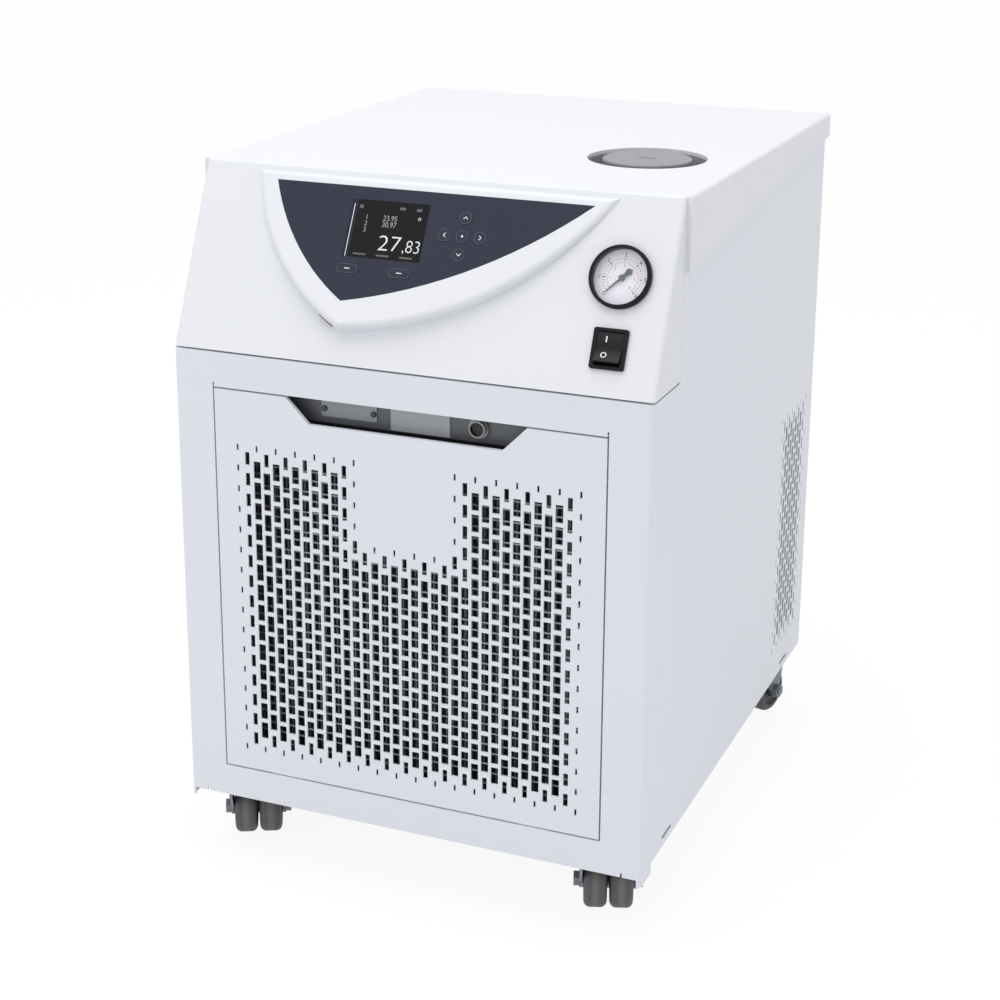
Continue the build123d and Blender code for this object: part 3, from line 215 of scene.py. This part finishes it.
plain_looks = {
    "powder_coat": dict(colour=front_paint, roughness=0.46, grain=1500.0, relief=30, mottle=0.02),
    "grille_coat": dict(colour=front_paint, roughness=0.46, grain=1500.0, relief=30, mottle=0.02),
    "hood_plastic": dict(colour=(222, 224, 230), roughness=0.40, grain=1900.0, relief=20, mottle=0.012),
    "panel_plastic": dict(colour=panel_tone, roughness=0.36, grain=2200.0, relief=20, mottle=0.05,
                          specular=0.25),
    "black_plastic": dict(colour=(22, 23, 27), roughness=0.42, grain=1600.0, relief=20, mottle=0.08,
                          specular=0.15),
    "black_gloss": dict(colour=(19, 20, 25), roughness=0.3, grain=900.0, relief=10, mottle=0.05, specular=0.2),
    "board": dict(colour=(38, 92, 58), roughness=0.5, grain=500.0, relief=50, mottle=0.12),
    "dial_white": dict(colour=(243, 242, 252), roughness=0.55, grain=1200.0, relief=10, mottle=0.01),
    "grey_plastic": dict(colour=(156, 159, 166), roughness=0.5, grain=1600.0, relief=20, mottle=0.03),
    "cap_plastic": dict(colour=(131, 132, 137), roughness=0.42, grain=1600.0, relief=20, mottle=0.015),
    "tank_plastic": dict(colour=(216, 217, 210), roughness=0.45, grain=300.0, relief=100, mottle=0.04),
    "zinc_sheet": dict(colour=(172, 175, 180), roughness=0.38, grain=240.0, relief=40, mottle=0.10,
                       metallic=0.9, stretch=rolled),
    "cover_plastic": dict(colour=(166, 169, 173), roughness=0.45, grain=1500.0, relief=20, mottle=0.015),
    "bright_metal": dict(colour=(205, 207, 210), roughness=0.2, grain=700.0, relief=20, mottle=0.04,
                         metallic=1.0),
    "brass": dict(colour=(184, 150, 92), roughness=0.3, grain=600.0, relief=30, mottle=0.06, metallic=1.0),
    "copper": dict(colour=(186, 118, 84), roughness=0.34, grain=260.0, relief=40, mottle=0.12, metallic=1.0),
    "black_metal": dict(colour=(30, 32, 36), roughness=0.4, grain=700.0, relief=60, mottle=0.08),
    "rubber": dict(colour=(32, 33, 36), roughness=0.7, grain=900.0, relief=50, mottle=0.08),
    "pump_metal": dict(colour=(92, 100, 112), roughness=0.42, grain=600.0, relief=60, mottle=0.06),
    "steel": dict(colour=(176, 180, 186), roughness=0.3, grain=300.0, relief=40, mottle=0.06, metallic=1.0,
                  stretch=drawn),
    "key_rubber": dict(colour=panel_tone, roughness=0.5, grain=1900.0, relief=20, mottle=0.03, specular=0.25),
    "zinc_castor": dict(colour=(122, 127, 134), roughness=0.4, grain=260.0, relief=40, mottle=0.08,
                        metallic=0.5),
    "print_black": dict(colour=(20, 20, 22), roughness=0.6, grain=1500.0, relief=10, mottle=0.05),
    "print_white": dict(colour=(226, 228, 232), roughness=0.55, grain=1500.0, relief=10, mottle=0.02),
    # print_grey is real print for the display's grey signs, and painted highlight for the rings on the keys'
    # raised rims
    "print_grey": dict(colour=(86, 89, 106), roughness=0.55, grain=1500.0, relief=10, mottle=0.02),
    "print_dim": dict(colour=(92, 87, 80), roughness=0.55, grain=1500.0, relief=10, mottle=0.02),
    "print_red": dict(colour=(206, 92, 92), roughness=0.6, grain=1500.0, relief=10, mottle=0.02),
    # shaded_sheet is a darker copy of the zinc sheet: partly the interface panel's own darker metal, partly
    # painted shade for its place in the recess
    "shaded_sheet": dict(colour=(98, 101, 106), roughness=0.45, grain=240.0, relief=40, mottle=0.06,
                         metallic=0.5, stretch=rolled),
    "print_soft": dict(colour=(150, 152, 154), roughness=0.55, grain=1500.0, relief=10, mottle=0.02),
    "plate_sheet": dict(colour=(142, 145, 150), roughness=0.45, grain=240.0, relief=40, mottle=0.05,
                        metallic=0.4, stretch=rolled),
    "screw_steel": dict(colour=(74, 76, 80), roughness=0.25, grain=700.0, relief=20, mottle=0.04, metallic=1.0),
    "wire_metal": dict(colour=(176, 180, 186), roughness=0.35, grain=500.0, relief=20, mottle=0.05,
                       metallic=0.6),
}
finishes = {name: finish(name, **look) for name, look in plain_looks.items()}


# Materials with a pattern of their own

display_x, display_y = -34.5, 120.2
display_border = -30.5


def display_glass():
    """Black glass, a little bluer along the border at its left."""
    glass = shade((17, 18, 19))
    border_glass = shade((38, 40, 54))
    paint = Paint("display_glass")
    middle = bezel @ Vector((display_x * mm, display_y * mm, 0))
    border = paint.along(middle, across) < display_border
    smear = paint.noise(60.0, detail=3.0)
    paint.set("Base Color", paint.mix(border, glass, border_glass))
    paint.vary("Roughness", smear, least=0.12, spread=0.08)
    paint.bump(smear, 5 * micron)
    paint.set("Specular IOR Level", 0.2)
    return paint


def clear_lens():
    """The gauge's thin clear window."""
    paint = Paint("clear_lens")
    smear = paint.noise(90.0, detail=3.0)
    paint.set("Base Color", shade((250, 252, 255)))
    paint.vary("Roughness", smear, least=0.02, spread=0.06)
    paint.vary("Alpha", smear, least=0.07, spread=0.03)
    paint.bump(smear, 5 * micron)
    return paint


def condenser_aluminium():
    """Thin dark fins with dust between them."""
    clean = shade((84, 87, 93))
    dusty = shade((122, 126, 132))
    paint = Paint("fin_aluminium")
    dust = paint.noise(40.0, detail=5.0)
    edge = paint.noise(900.0, detail=2.0, stretch=(1.0, 1.0, 0.05))
    paint.set("Base Color", paint.mix(dust, clean, dusty))
    paint.vary("Roughness", edge, least=0.4, spread=0.2)
    paint.set("Metallic", 0.5)
    paint.bump(edge, 100 * micron)
    return paint


connector_middle = (63.0, front, 451.0)
connector_face = 6.1


def connector_metal():
    """A bright ring round a black face."""
    ring = shade((134, 134, 135))
    insert = shade((24, 24, 26))
    paint = Paint("connector_metal")
    middle = Vector(connector_middle) * mm
    x = paint.along(middle, across)
    z = paint.along(middle, (0, 0, 1))
    face = (x * x + z * z) < connector_face ** 2
    fine = paint.noise(700.0, detail=2.0)
    paint.set("Base Color", paint.mix(face, ring, insert))
    paint.set("Metallic", 1 - face)
    paint.vary("Roughness", fine, least=0.2, spread=0.12)
    paint.bump(fine, 20 * micron)
    return paint


# Each castor: the X and Y of its swivel, and the turn in degrees that its wheels rest at
castors = {
    "front_left": (-177.0, -244.5, 207.0),
    "front_right": (177.0, -244.5, 200.0),
    "rear_left": (-177.0, 209.5, 180.0),
    "rear_right": (177.0, 209.5, 165.0),
}
castor_trail = 18.0
axle_height = 25.0
wheel_offset = 11.7


def wheel_rubber(name, castor):
    """Grey tyre with a paler seam round its middle, on a darker plastic hub."""
    tyre_dark, tyre_light = shade((78, 77, 80)), shade((90, 89, 92))
    seam_tone, hub_tone = shade((112, 106, 102)), shade((66, 67, 71))
    seam_inner, seam_outer = 0.8, 5.0
    hub_inner, hub_outer = 16.6, 17.2
    paint = Paint("wheel_rubber_" + name)
    x, y, degrees = castor
    turn = math.radians(degrees)
    axle = Vector((math.cos(turn), math.sin(turn), 0))
    ahead = Vector((math.sin(turn), -math.cos(turn), 0))
    middle = (Vector((x, y, axle_height)) + ahead * castor_trail) * mm
    sideways = abs(abs(paint.along(middle, axle)) - wheel_offset)
    seam_line = 1 - paint.soft_step(sideways, seam_inner, seam_outer)
    forward = paint.along(middle, ahead)
    upward = paint.along(middle, (0, 0, 1))
    radius = (forward * forward + upward * upward).maths("SQRT")
    hub = 1 - paint.soft_step(radius, hub_inner, hub_outer)
    grain = paint.noise(700.0, detail=3.0)
    scuff = paint.noise(55.0, detail=4.0)
    tyre = paint.mix(seam_line * (1 - hub), paint.mix(scuff, tyre_dark, tyre_light), seam_tone)
    paint.set("Base Color", paint.mix(hub, tyre, hub_tone))
    paint.vary("Roughness", grain, least=0.5, spread=0.15)
    paint.bump(grain, 40 * micron)
    return paint


finishes["display_glass"] = display_glass()
finishes["clear_lens"] = clear_lens()
finishes["fin_aluminium"] = condenser_aluminium()
finishes["connector_metal"] = connector_metal()

# Nodes that look unlike the rest of their slot
own_look = {
    # The interface panel's darker sheet is partly its own metal, partly painted shade for the recess
    "interface_panel": "shaded_sheet",
    "blanking_plate": "plate_sheet",
    "panel_screws": "screw_steel",
    "signal_connector": "connector_metal",
}
for name, castor in castors.items():
    finishes["wheel_rubber_" + name] = wheel_rubber(name, castor)
    for side in ("_left", "_right"):
        own_look["castor_wheel_" + name + side] = "wheel_rubber_" + name

for part in frame["record"]["subparts"]:
    slots = frame["nodes"][part["node"]].data.materials
    slots.clear()
    slots.append(finishes[own_look.get(part["node"], part["material_slot"])].material)


# Repeated pieces, grown by geometry trees


class Pattern(Nodes):
    """A geometry tree with a count and named sizes, that ends in real mesh of one material."""

    def __init__(self, name, *sizes):
        super().__init__(bpy.data.node_groups.new(name, "GeometryNodeTree"))
        face = self.tree.interface
        face.new_socket(name="Geometry", in_out="OUTPUT", socket_type="NodeSocketGeometry")
        face.new_socket(name="Count", in_out="INPUT", socket_type="NodeSocketInt")
        for size in sizes:
            face.new_socket(name=size, in_out="INPUT", socket_type="NodeSocketFloat")
        self.inputs = self.tree.nodes.new("NodeGroupInput")

    def size(self, name):
        return Wire(self, self.inputs.outputs[name])

    def index(self):
        return self.add("GeometryNodeInputIndex")

    def vector(self, x=0.0, y=0.0, z=0.0):
        return self.add("ShaderNodeCombineXYZ", sockets={"X": x, "Y": y, "Z": z})

    def points(self, position):
        """As many points as the count, each moved to a position worked out from its index."""
        line = self.add("GeometryNodeMeshLine",
                        sockets={"Count": self.size("Count"), "Offset": (0.0, 0.0, 0.0)})
        return self.add("GeometryNodeSetPosition", sockets={"Geometry": line, "Position": position})

    def end(self, points, instance, rotation=None, scale=even):
        """One instance on each point, made real and given a material."""
        sockets = {"Points": points, "Instance": instance, "Scale": scale}
        if rotation is not None:
            sockets["Rotation"] = self.add("FunctionNodeEulerToRotation", sockets={"Euler": rotation})
        placed = self.add("GeometryNodeInstanceOnPoints", sockets=sockets)
        real = self.add("GeometryNodeRealizeInstances", sockets={"Geometry": placed})
        self.paint = self.add("GeometryNodeSetMaterial", sockets={"Geometry": real})
        self.add("NodeGroupOutput", sockets={"Geometry": self.paint})

    def grow(self, name, material, place, **sizes):
        """The finished mesh of this pattern at given sizes, moved to its place."""
        self.paint.socket.node.inputs["Material"].default_value = finishes[material].material
        maker = bpy.data.objects.new(name + "_maker", bpy.data.meshes.new(name + "_maker"))
        bpy.context.collection.objects.link(maker)
        modifier = maker.modifiers.new("pattern", "NODES")
        modifier.node_group = self.tree
        for item in self.tree.interface.items_tree:
            if item.in_out == "INPUT":
                modifier[item.identifier] = sizes[item.name]
        graph = bpy.context.evaluated_depsgraph_get()
        mesh = bpy.data.meshes.new_from_object(maker.evaluated_get(graph))
        bpy.data.objects.remove(maker)
        settle(name, mesh, material, place)


def settle(name, mesh, material, place, body="chassis"):
    """Make an object at the origin from a mesh, with the mesh moved to its place, and let it ride."""
    mesh.transform(place)
    mesh.materials.clear()
    mesh.materials.append(finishes[material].material)
    mesh.name = name
    piece = bpy.data.objects.new(name, mesh)
    bpy.context.collection.objects.link(piece)
    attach(piece, body)


def arc_pattern():
    """Short bars set round an arc, each pointing to the middle."""
    tree = Pattern("dial_scale", "Radius", "Start", "Step", "Length", "Width", "Depth")
    angle = tree.size("Start") + tree.size("Step") * tree.index()
    radius = tree.size("Radius")
    place = tree.vector(angle.maths("COSINE") * radius, angle.maths("SINE") * radius)
    bar = tree.add("GeometryNodeMeshCube",
                   sockets={"Size": tree.vector(tree.size("Length"), tree.size("Width"), tree.size("Depth"))})
    tree.end(tree.points(place), bar, tree.vector(z=angle))
    return tree


def wire_pattern():
    """Thin level wires in pairs, one pair above another."""
    tree = Pattern("condenser_wires", "Pitch", "Pair", "Length", "Radius")
    odd = tree.index().maths("MODULO", 2.0)
    height = (tree.index() - odd) * 0.5 * tree.size("Pitch") + odd * tree.size("Pair")
    rod = tree.add("GeometryNodeMeshCylinder",
                   sockets={"Vertices": 8, "Radius": tree.size("Radius"), "Depth": tree.size("Length")})
    tree.end(tree.points(tree.vector(z=height)), rod, (0.0, math.pi / 2, 0.0))
    return tree


def screw_pattern():
    """Low round heads spaced round a rectangle."""
    flatness = 0.55
    tree = Pattern("screw_ring", "Width", "Height", "Head")
    outline = tree.add("GeometryNodeCurvePrimitiveQuadrilateral",
                       sockets={"Width": tree.size("Width"), "Height": tree.size("Height")})
    points = tree.add("GeometryNodeCurveToPoints", {"mode": "COUNT"},
                      {"Curve": outline, "Count": tree.size("Count")})
    head = tree.add("GeometryNodeMeshUVSphere",
                    sockets={"Segments": 14, "Rings": 8, "Radius": tree.size("Head")})
    tree.end(points, head, scale=(1.0, 1.0, flatness))
    return tree


upright = Matrix.Rotation(math.pi / 2, 4, "X")
condenser_face = front + 35.0
lowest_wire = 92.0
wire_pattern().grow("condenser_wires", "wire_metal", shift(0, condenser_face, lowest_wire),
                    Count=36, Pitch=19.4 * mm, Pair=11.0 * mm, Length=340.0 * mm, Radius=1.0 * mm)
rear_face = 255.0
rear_middle = 353.0
screw_pattern().grow("rear_screws", "bright_metal", shift(0, rear_face, rear_middle) @ upright,
                     Count=12, Width=424.0 * mm, Height=530.0 * mm, Head=4.0 * mm)

# The gauge's printed scales: a sweep of 270 degrees from lower left, clockwise

gauge_x, gauge_y = 176.5, 100.5
dial_sunk = 3.2
gauge = slope @ shift(gauge_x, gauge_y, -dial_sunk)
scale_start = math.radians(225)
scale_sweep = math.radians(-270)
minor_count = 31
major_count = 7
scale = arc_pattern()


def dial_scale(name, colour, count, radius, length, width):
    """Thin bars along one scale, with sizes in millimetres."""
    scale.grow(name, colour, gauge, Count=count, Radius=radius * mm, Start=scale_start,
               Step=scale_sweep / (count - 1), Length=length * mm, Width=width * mm, Depth=0.2 * mm)


dial_scale("dial_minor", "print_black", minor_count, radius=16.2, length=1.4, width=0.4)
dial_scale("dial_major", "print_black", major_count, radius=15.9, length=2.4, width=0.8)
dial_scale("dial_red", "print_red", minor_count, radius=13.2, length=1.6, width=0.5)


def lettering(text, height, level="CENTER", thinned=0.0):
    """Digits as thin solid mesh, sized in millimetres, centred across their own origin."""
    half_depth = 0.1
    curve = bpy.data.curves.new("digit", "FONT")
    curve.body = text
    curve.size = height * mm
    curve.extrude = half_depth * mm
    curve.offset = -thinned * mm
    curve.align_x = "CENTER"
    curve.align_y = level
    holder = bpy.data.objects.new("digit", curve)
    bpy.context.collection.objects.link(holder)
    graph = bpy.context.evaluated_depsgraph_get()
    mesh = bpy.data.meshes.new_from_object(holder.evaluated_get(graph))
    bpy.data.objects.remove(holder)
    return mesh


# Each ring of numbers on the dial: name, colour, radius and height
number_rings = (("dial_digit_", "print_black", 19.4, 5.2), ("dial_red_digit_", "print_red", 10.3, 3.6))
for value in range(major_count):
    angle = scale_start + scale_sweep * value / (major_count - 1)
    for name, colour, radius, height in number_rings:
        at = shift(radius * math.cos(angle), radius * math.sin(angle))
        settle(name + str(value), lettering(str(value), height), colour, gauge @ at)


# Flat printed marks, as thin closed plates


def plate(outlines, low, high):
    """A closed mesh: each outline, in millimetres, raised from one height to another."""
    points, faces = [], []
    for outline in outlines:
        start, count = len(points), len(outline)
        points += [Vector((x, y, low)) * mm for x, y in outline]
        points += [Vector((x, y, high)) * mm for x, y in outline]
        faces.append([start + i for i in reversed(range(count))])
        faces.append([start + count + i for i in range(count)])
        faces += [[start + i, start + (i + 1) % count, start + count + (i + 1) % count, start + count + i]
                  for i in range(count)]
    mesh = bpy.data.meshes.new("plate")
    mesh.from_pydata(points, [], faces)
    return mesh


def rectangle(x, y, width, height):
    left, right, low, high = x - width / 2, x + width / 2, y - height / 2, y + height / 2
    return [(left, low), (right, low), (right, high), (left, high)]


def rounded(width, height, corner, steps=8):
    """The outline of a rectangle with round corners, anticlockwise."""
    points = []
    for quarter, (i, j) in enumerate(((1, 1), (-1, 1), (-1, -1), (1, -1))):
        for step in range(steps + 1):
            angle = (quarter + step / steps) * math.pi / 2
            points.append((i * (width / 2 - corner) + corner * math.cos(angle),
                           j * (height / 2 - corner) + corner * math.sin(angle)))
    return points


def circle(radius):
    return rounded(2 * radius, 2 * radius, radius)


def band(outer, inner, low, high):
    """A closed flat mesh between two outlines of as many points, in millimetres."""
    points, faces = [], []
    count = len(outer)
    for i in range(count):
        section = ((inner[i], low), (outer[i], low), (outer[i], high), (inner[i], high))
        points += [Vector((x, y, z)) * mm for (x, y), z in section]
        here, there = 4 * i, 4 * ((i + 1) % count)
        faces += [[here + k, there + k, there + (k + 1) % 4, here + (k + 1) % 4] for k in range(4)]
    mesh = bpy.data.meshes.new("band")
    mesh.from_pydata(points, [], faces)
    return mesh


# The needle's round tail, on the side away from its point

tail_turn = math.radians(45)
tail_reach = 7.6
tail_radius = 2.7
needle_low, needle_high = 1.35, 2.0
tail_place = gauge @ shift(tail_reach * math.cos(tail_turn), tail_reach * math.sin(tail_turn))
settle("needle_tail", plate([circle(tail_radius)], needle_low, needle_high), "black_plastic", tail_place,
       "gauge_needle")

# The rocker's marks lie on its hollow face, which is tilted with its upper end in

rocker_pivot = -3.0
rocker_tilt = math.radians(-9.0)
face_dip = 2.4
face_radius = 38.3
switch_x, switch_y = 176.3, 41.0
switch = slope @ shift(switch_x, switch_y)


def on_rocker(x, y):
    """The place of a mark on the hollow face, at a point of the switch."""
    height = face_dip + face_radius - math.sqrt(face_radius ** 2 - y ** 2)
    lean = Matrix.Rotation(math.asin(y / face_radius), 4, "X")
    tilt = shift(0, 0, rocker_pivot) @ Matrix.Rotation(rocker_tilt, 4, "X") @ shift(0, 0, -rocker_pivot)
    return switch @ tilt @ shift(x, y, height) @ lean


mark_x = -3.2
on_y, off_y = 7.0, -6.5
rocker_low, rocker_high = -0.2, 0.08
bar = rectangle(0, 0, width=1.2, height=5.2)
ring_outer, ring_inner = circle(2.6), circle(1.7)
settle("switch_mark_on", plate([bar], rocker_low, rocker_high), "print_white", on_rocker(mark_x, on_y),
       "switch_rocker")
settle("switch_mark_off", band(ring_outer, ring_inner, rocker_low, rocker_high), "print_white",
       on_rocker(mark_x, off_y), "switch_rocker")

# Painted highlights on the keys' raised rims, drawn as thin grey rings, and marks on the keys

key_face = 0.4
mark_low, mark_high = -0.2, 0.06
chevron = [(-1.7, -1.3), (0.0, 0.4), (1.7, -1.3), (2.1, -0.8), (0.0, 1.3), (-2.1, -0.8)]
dot = circle(1.0)
dash = rectangle(0, 0, width=5.0, height=0.8)
round_rim_highlight = (circle(5.5), circle(5.1))
wide_rim_highlight = (rounded(18.8, 8.3, corner=3.4), rounded(18.0, 7.5, corner=3.0))
cross_x, cross_y = 35.5, 121.0
cross_step = 16.2
softkey_left_x, softkey_right_x, softkey_y = -63.2, -14.7, 84.0


def mark_key(name, x, y, outline, mark, turn=0):
    """A grey ring of painted highlight for the key's raised rim, and a white mark on one key, its mark turned
    anticlockwise in degrees.
    """
    place = bezel @ shift(x, y, key_face)
    body = "key_" + name
    spin = Matrix.Rotation(math.radians(turn), 4, "Z")
    settle("key_rim_highlight_" + name, band(*outline, mark_low, mark_high), "print_grey", place, body)
    settle("key_mark_" + name, plate([mark], mark_low, mark_high), "print_white", place @ spin, body)


for name, turn, x, y in (("up", 0, 0, 1), ("left", 90, -1, 0), ("down", 180, 0, -1), ("right", 270, 1, 0)):
    mark_key(name, cross_x + cross_step * x, cross_y + cross_step * y, round_rim_highlight, chevron, turn)
mark_key("enter", cross_x, cross_y, round_rim_highlight, dot)
for name, x in (("softkey_left", softkey_left_x), ("softkey_right", softkey_right_x)):
    mark_key(name, x, softkey_y, wide_rim_highlight, dash)

# What the display shows: plain numbers, and bars in the place of words; and a painted reflection, a thin white
# line along its left edge

display = bezel @ shift(display_x, display_y)

# Each number: name, text, colour, height, how far its strokes are thinned, its stretch across, X and Y
display_numbers = (
    ("whole", "27", "print_white", 19.5, 0.3, 1.15, 5.6, -18.0),
    ("fraction", ",83", "print_white", 16.0, 0.25, 0.9, 26.2, -18.0),
    ("upper_reading", "23.95", "print_soft", 6.8, 0.0, 0.9, 1.8, 8.2),
    ("lower_reading", "30.97", "print_soft", 6.8, 0.0, 0.9, 1.8, 2.6),
    ("upper_row", "1", "print_soft", 6.0, 0.0, 1.0, -20.0, 8.4),
    ("middle_row", "2", "print_soft", 6.0, 0.0, 1.0, -20.0, 2.8),
    ("lower_row", "3", "print_soft", 6.0, 0.0, 1.0, -20.0, -2.8),
)
for name, text, colour, height, thinned, stretch, x, y in display_numbers:
    settle("display_" + name, lettering(text, height, "TOP_BASELINE", thinned), colour,
           display @ shift(x, y) @ Matrix.Diagonal((stretch, 1.0, 1.0, 1.0)))

# A painted reflection: a thin white line along the display's left edge
reflection_line = rectangle(-33.4, -2.0, width=0.6, height=47.0)
degree_outer, degree_inner = circle(1.3), circle(0.8)
degree_x, degree_y = 28.6, 12.2
signs = [rectangle(-26.9, 19.2, width=3.4, height=3.0), rectangle(11.6, 20.0, width=5.0, height=2.4),
         rectangle(27.0, 19.8, width=5.0, height=2.4)]
footer = [rectangle(x, -22.6, width=12.0, height=1.6) for x in (-20.3, 1.3, 23.0)]
settle("display_painted_reflection", plate([reflection_line], mark_low, mark_high), "print_white", display)
settle("display_degree", band(degree_outer, degree_inner, mark_low, mark_high), "print_white",
       display @ shift(degree_x, degree_y))
settle("display_signs", plate(signs, mark_low, mark_high), "print_grey", display)
settle("display_footer", plate(footer, mark_low, mark_high), "print_dim", display)

# Painted shade: a dark strip in the slit of the bezel's small flap, and a dark band across the condenser's
# upper front, for the shade in the gap under the interface panel

flap_x, flap_y = -78.0, 38.3
flap_turn = math.radians(-32)
flap_low, flap_high = -0.6, 3.8
flap_shade_strip = rectangle(0, 0, width=16.0, height=0.6)
settle("flap_painted_shade", plate([flap_shade_strip], flap_low, flap_high), "print_black",
       slope @ shift(flap_x, flap_y) @ Matrix.Rotation(flap_turn, 4, "Z"))
# A dark band in the rubber finish is painted shade across the condenser's upper front, below the interface
# panel
shade_band_inset = 33.8
shade_band_height = 430.5
shade_band_depth = 2.2
shade_band_strip = rectangle(0, shade_band_height, width=300.0, height=13.0)
settle("condenser_shade_band", plate([shade_band_strip], 0.0, shade_band_depth), "rubber",
       shift(0, front + shade_band_inset, 0) @ upright)


# Floor, light and camera


def seen_directly(nodes):
    """One where the camera sees a surface, also in a reflection or through glass."""
    rays = nodes.tree.nodes.new("ShaderNodeLightPath")
    kinds = ("Is Camera Ray", "Is Glossy Ray", "Is Transmission Ray")
    seen, mirrored, through = (Wire(nodes, rays.outputs[kind]) for kind in kinds)
    return seen.maths("MAXIMUM", mirrored).maths("MAXIMUM", through)


def studio_floor():
    """A pale floor that looks nearly white and keeps the unit's shadow."""
    reach = 14.0
    ground_tone = (0.86, 0.86, 0.86, 1.0)
    glow_strength = 1.03
    glow_share = 0.88
    corners = [(-reach, -reach, 0), (reach, -reach, 0), (reach, reach, 0), (-reach, reach, 0)]
    mesh = bpy.data.meshes.new("floor")
    mesh.from_pydata(corners, [], [(0, 1, 2, 3)])
    floor = bpy.data.objects.new("floor", mesh)
    bpy.context.collection.objects.link(floor)
    material = bpy.data.materials.new("floor")
    material.use_nodes = True
    material.node_tree.nodes.clear()
    nodes = Nodes(material.node_tree)
    ground = nodes.add("ShaderNodeBsdfDiffuse", sockets={"Color": ground_tone})
    glow = nodes.add("ShaderNodeEmission", sockets={"Color": white, "Strength": glow_strength})
    both = nodes.add("ShaderNodeMixShader", sockets={0: seen_directly(nodes) * glow_share, 1: ground, 2: glow})
    nodes.add("ShaderNodeOutputMaterial", sockets={"Surface": both})
    mesh.materials.append(material)


def studio_world():
    """Even light from all round, behind a white background."""
    even_light = 0.72
    world = bpy.data.worlds.new("studio")
    world.use_nodes = True
    world.node_tree.nodes.clear()
    bpy.context.scene.world = world
    nodes = Nodes(world.node_tree)
    strength = seen_directly(nodes) * (1.0 - even_light) + even_light
    backdrop = nodes.add("ShaderNodeBackground", sockets={"Color": white, "Strength": strength})
    nodes.add("ShaderNodeOutputWorld", sockets={"Surface": backdrop})


def lamp(name, at, target, size, power):
    """A square area light, in metres and watts, turned to its target."""
    light = bpy.data.lights.new(name, "AREA")
    light.size = size
    light.energy = power
    holder = bpy.data.objects.new(name, light)
    bpy.context.collection.objects.link(holder)
    holder.location = at
    holder.rotation_euler = (Vector(target) - Vector(at)).to_track_quat("-Z", "Y").to_euler()


def camera():
    """The photograph's view: place, direction, focal length and a small shift, in its own pixels."""
    focal = 2021.5
    middle_x, middle_y = 484.3, 400.0
    image = 1000.0
    turn = math.radians(22.601)
    drop = math.radians(16.885)
    roll = math.radians(0.234)
    place = Vector((0.6874, -1.7634, 0.9656))
    ahead = Vector((-math.sin(turn) * math.cos(drop), math.cos(turn) * math.cos(drop), -math.sin(drop)))
    level = Vector((math.cos(turn), math.sin(turn), 0))
    up = level.cross(ahead)
    right = level * math.cos(roll) + up * math.sin(roll)
    view = bpy.data.cameras.new("camera")
    view.sensor_width = 36.0
    view.lens = focal * view.sensor_width / image
    view.shift_x = (image / 2 - middle_x) / image
    view.shift_y = (middle_y - image / 2) / image
    holder = bpy.data.objects.new("camera", view)
    bpy.context.collection.objects.link(holder)
    turned = Matrix((right, right.cross(ahead), -ahead)).transposed().to_4x4()
    turned.translation = place
    holder.matrix_world = turned
    bpy.context.scene.camera = holder


studio_floor()
studio_world()
lamp("overhead", at=(-0.2, -0.5, 2.9), target=(0, 0, 0.5), size=2.2, power=34.0)
lamp("side_fill", at=(2.7, -0.5, 1.1), target=(0.2, 0, 0.35), size=1.4, power=5.4)
lamp("front_fill", at=(-1.2, -3.0, 1.6), target=(0, 0, 0.35), size=1.6, power=10.5)
camera()
bpy.context.scene.view_settings.view_transform = "Standard"
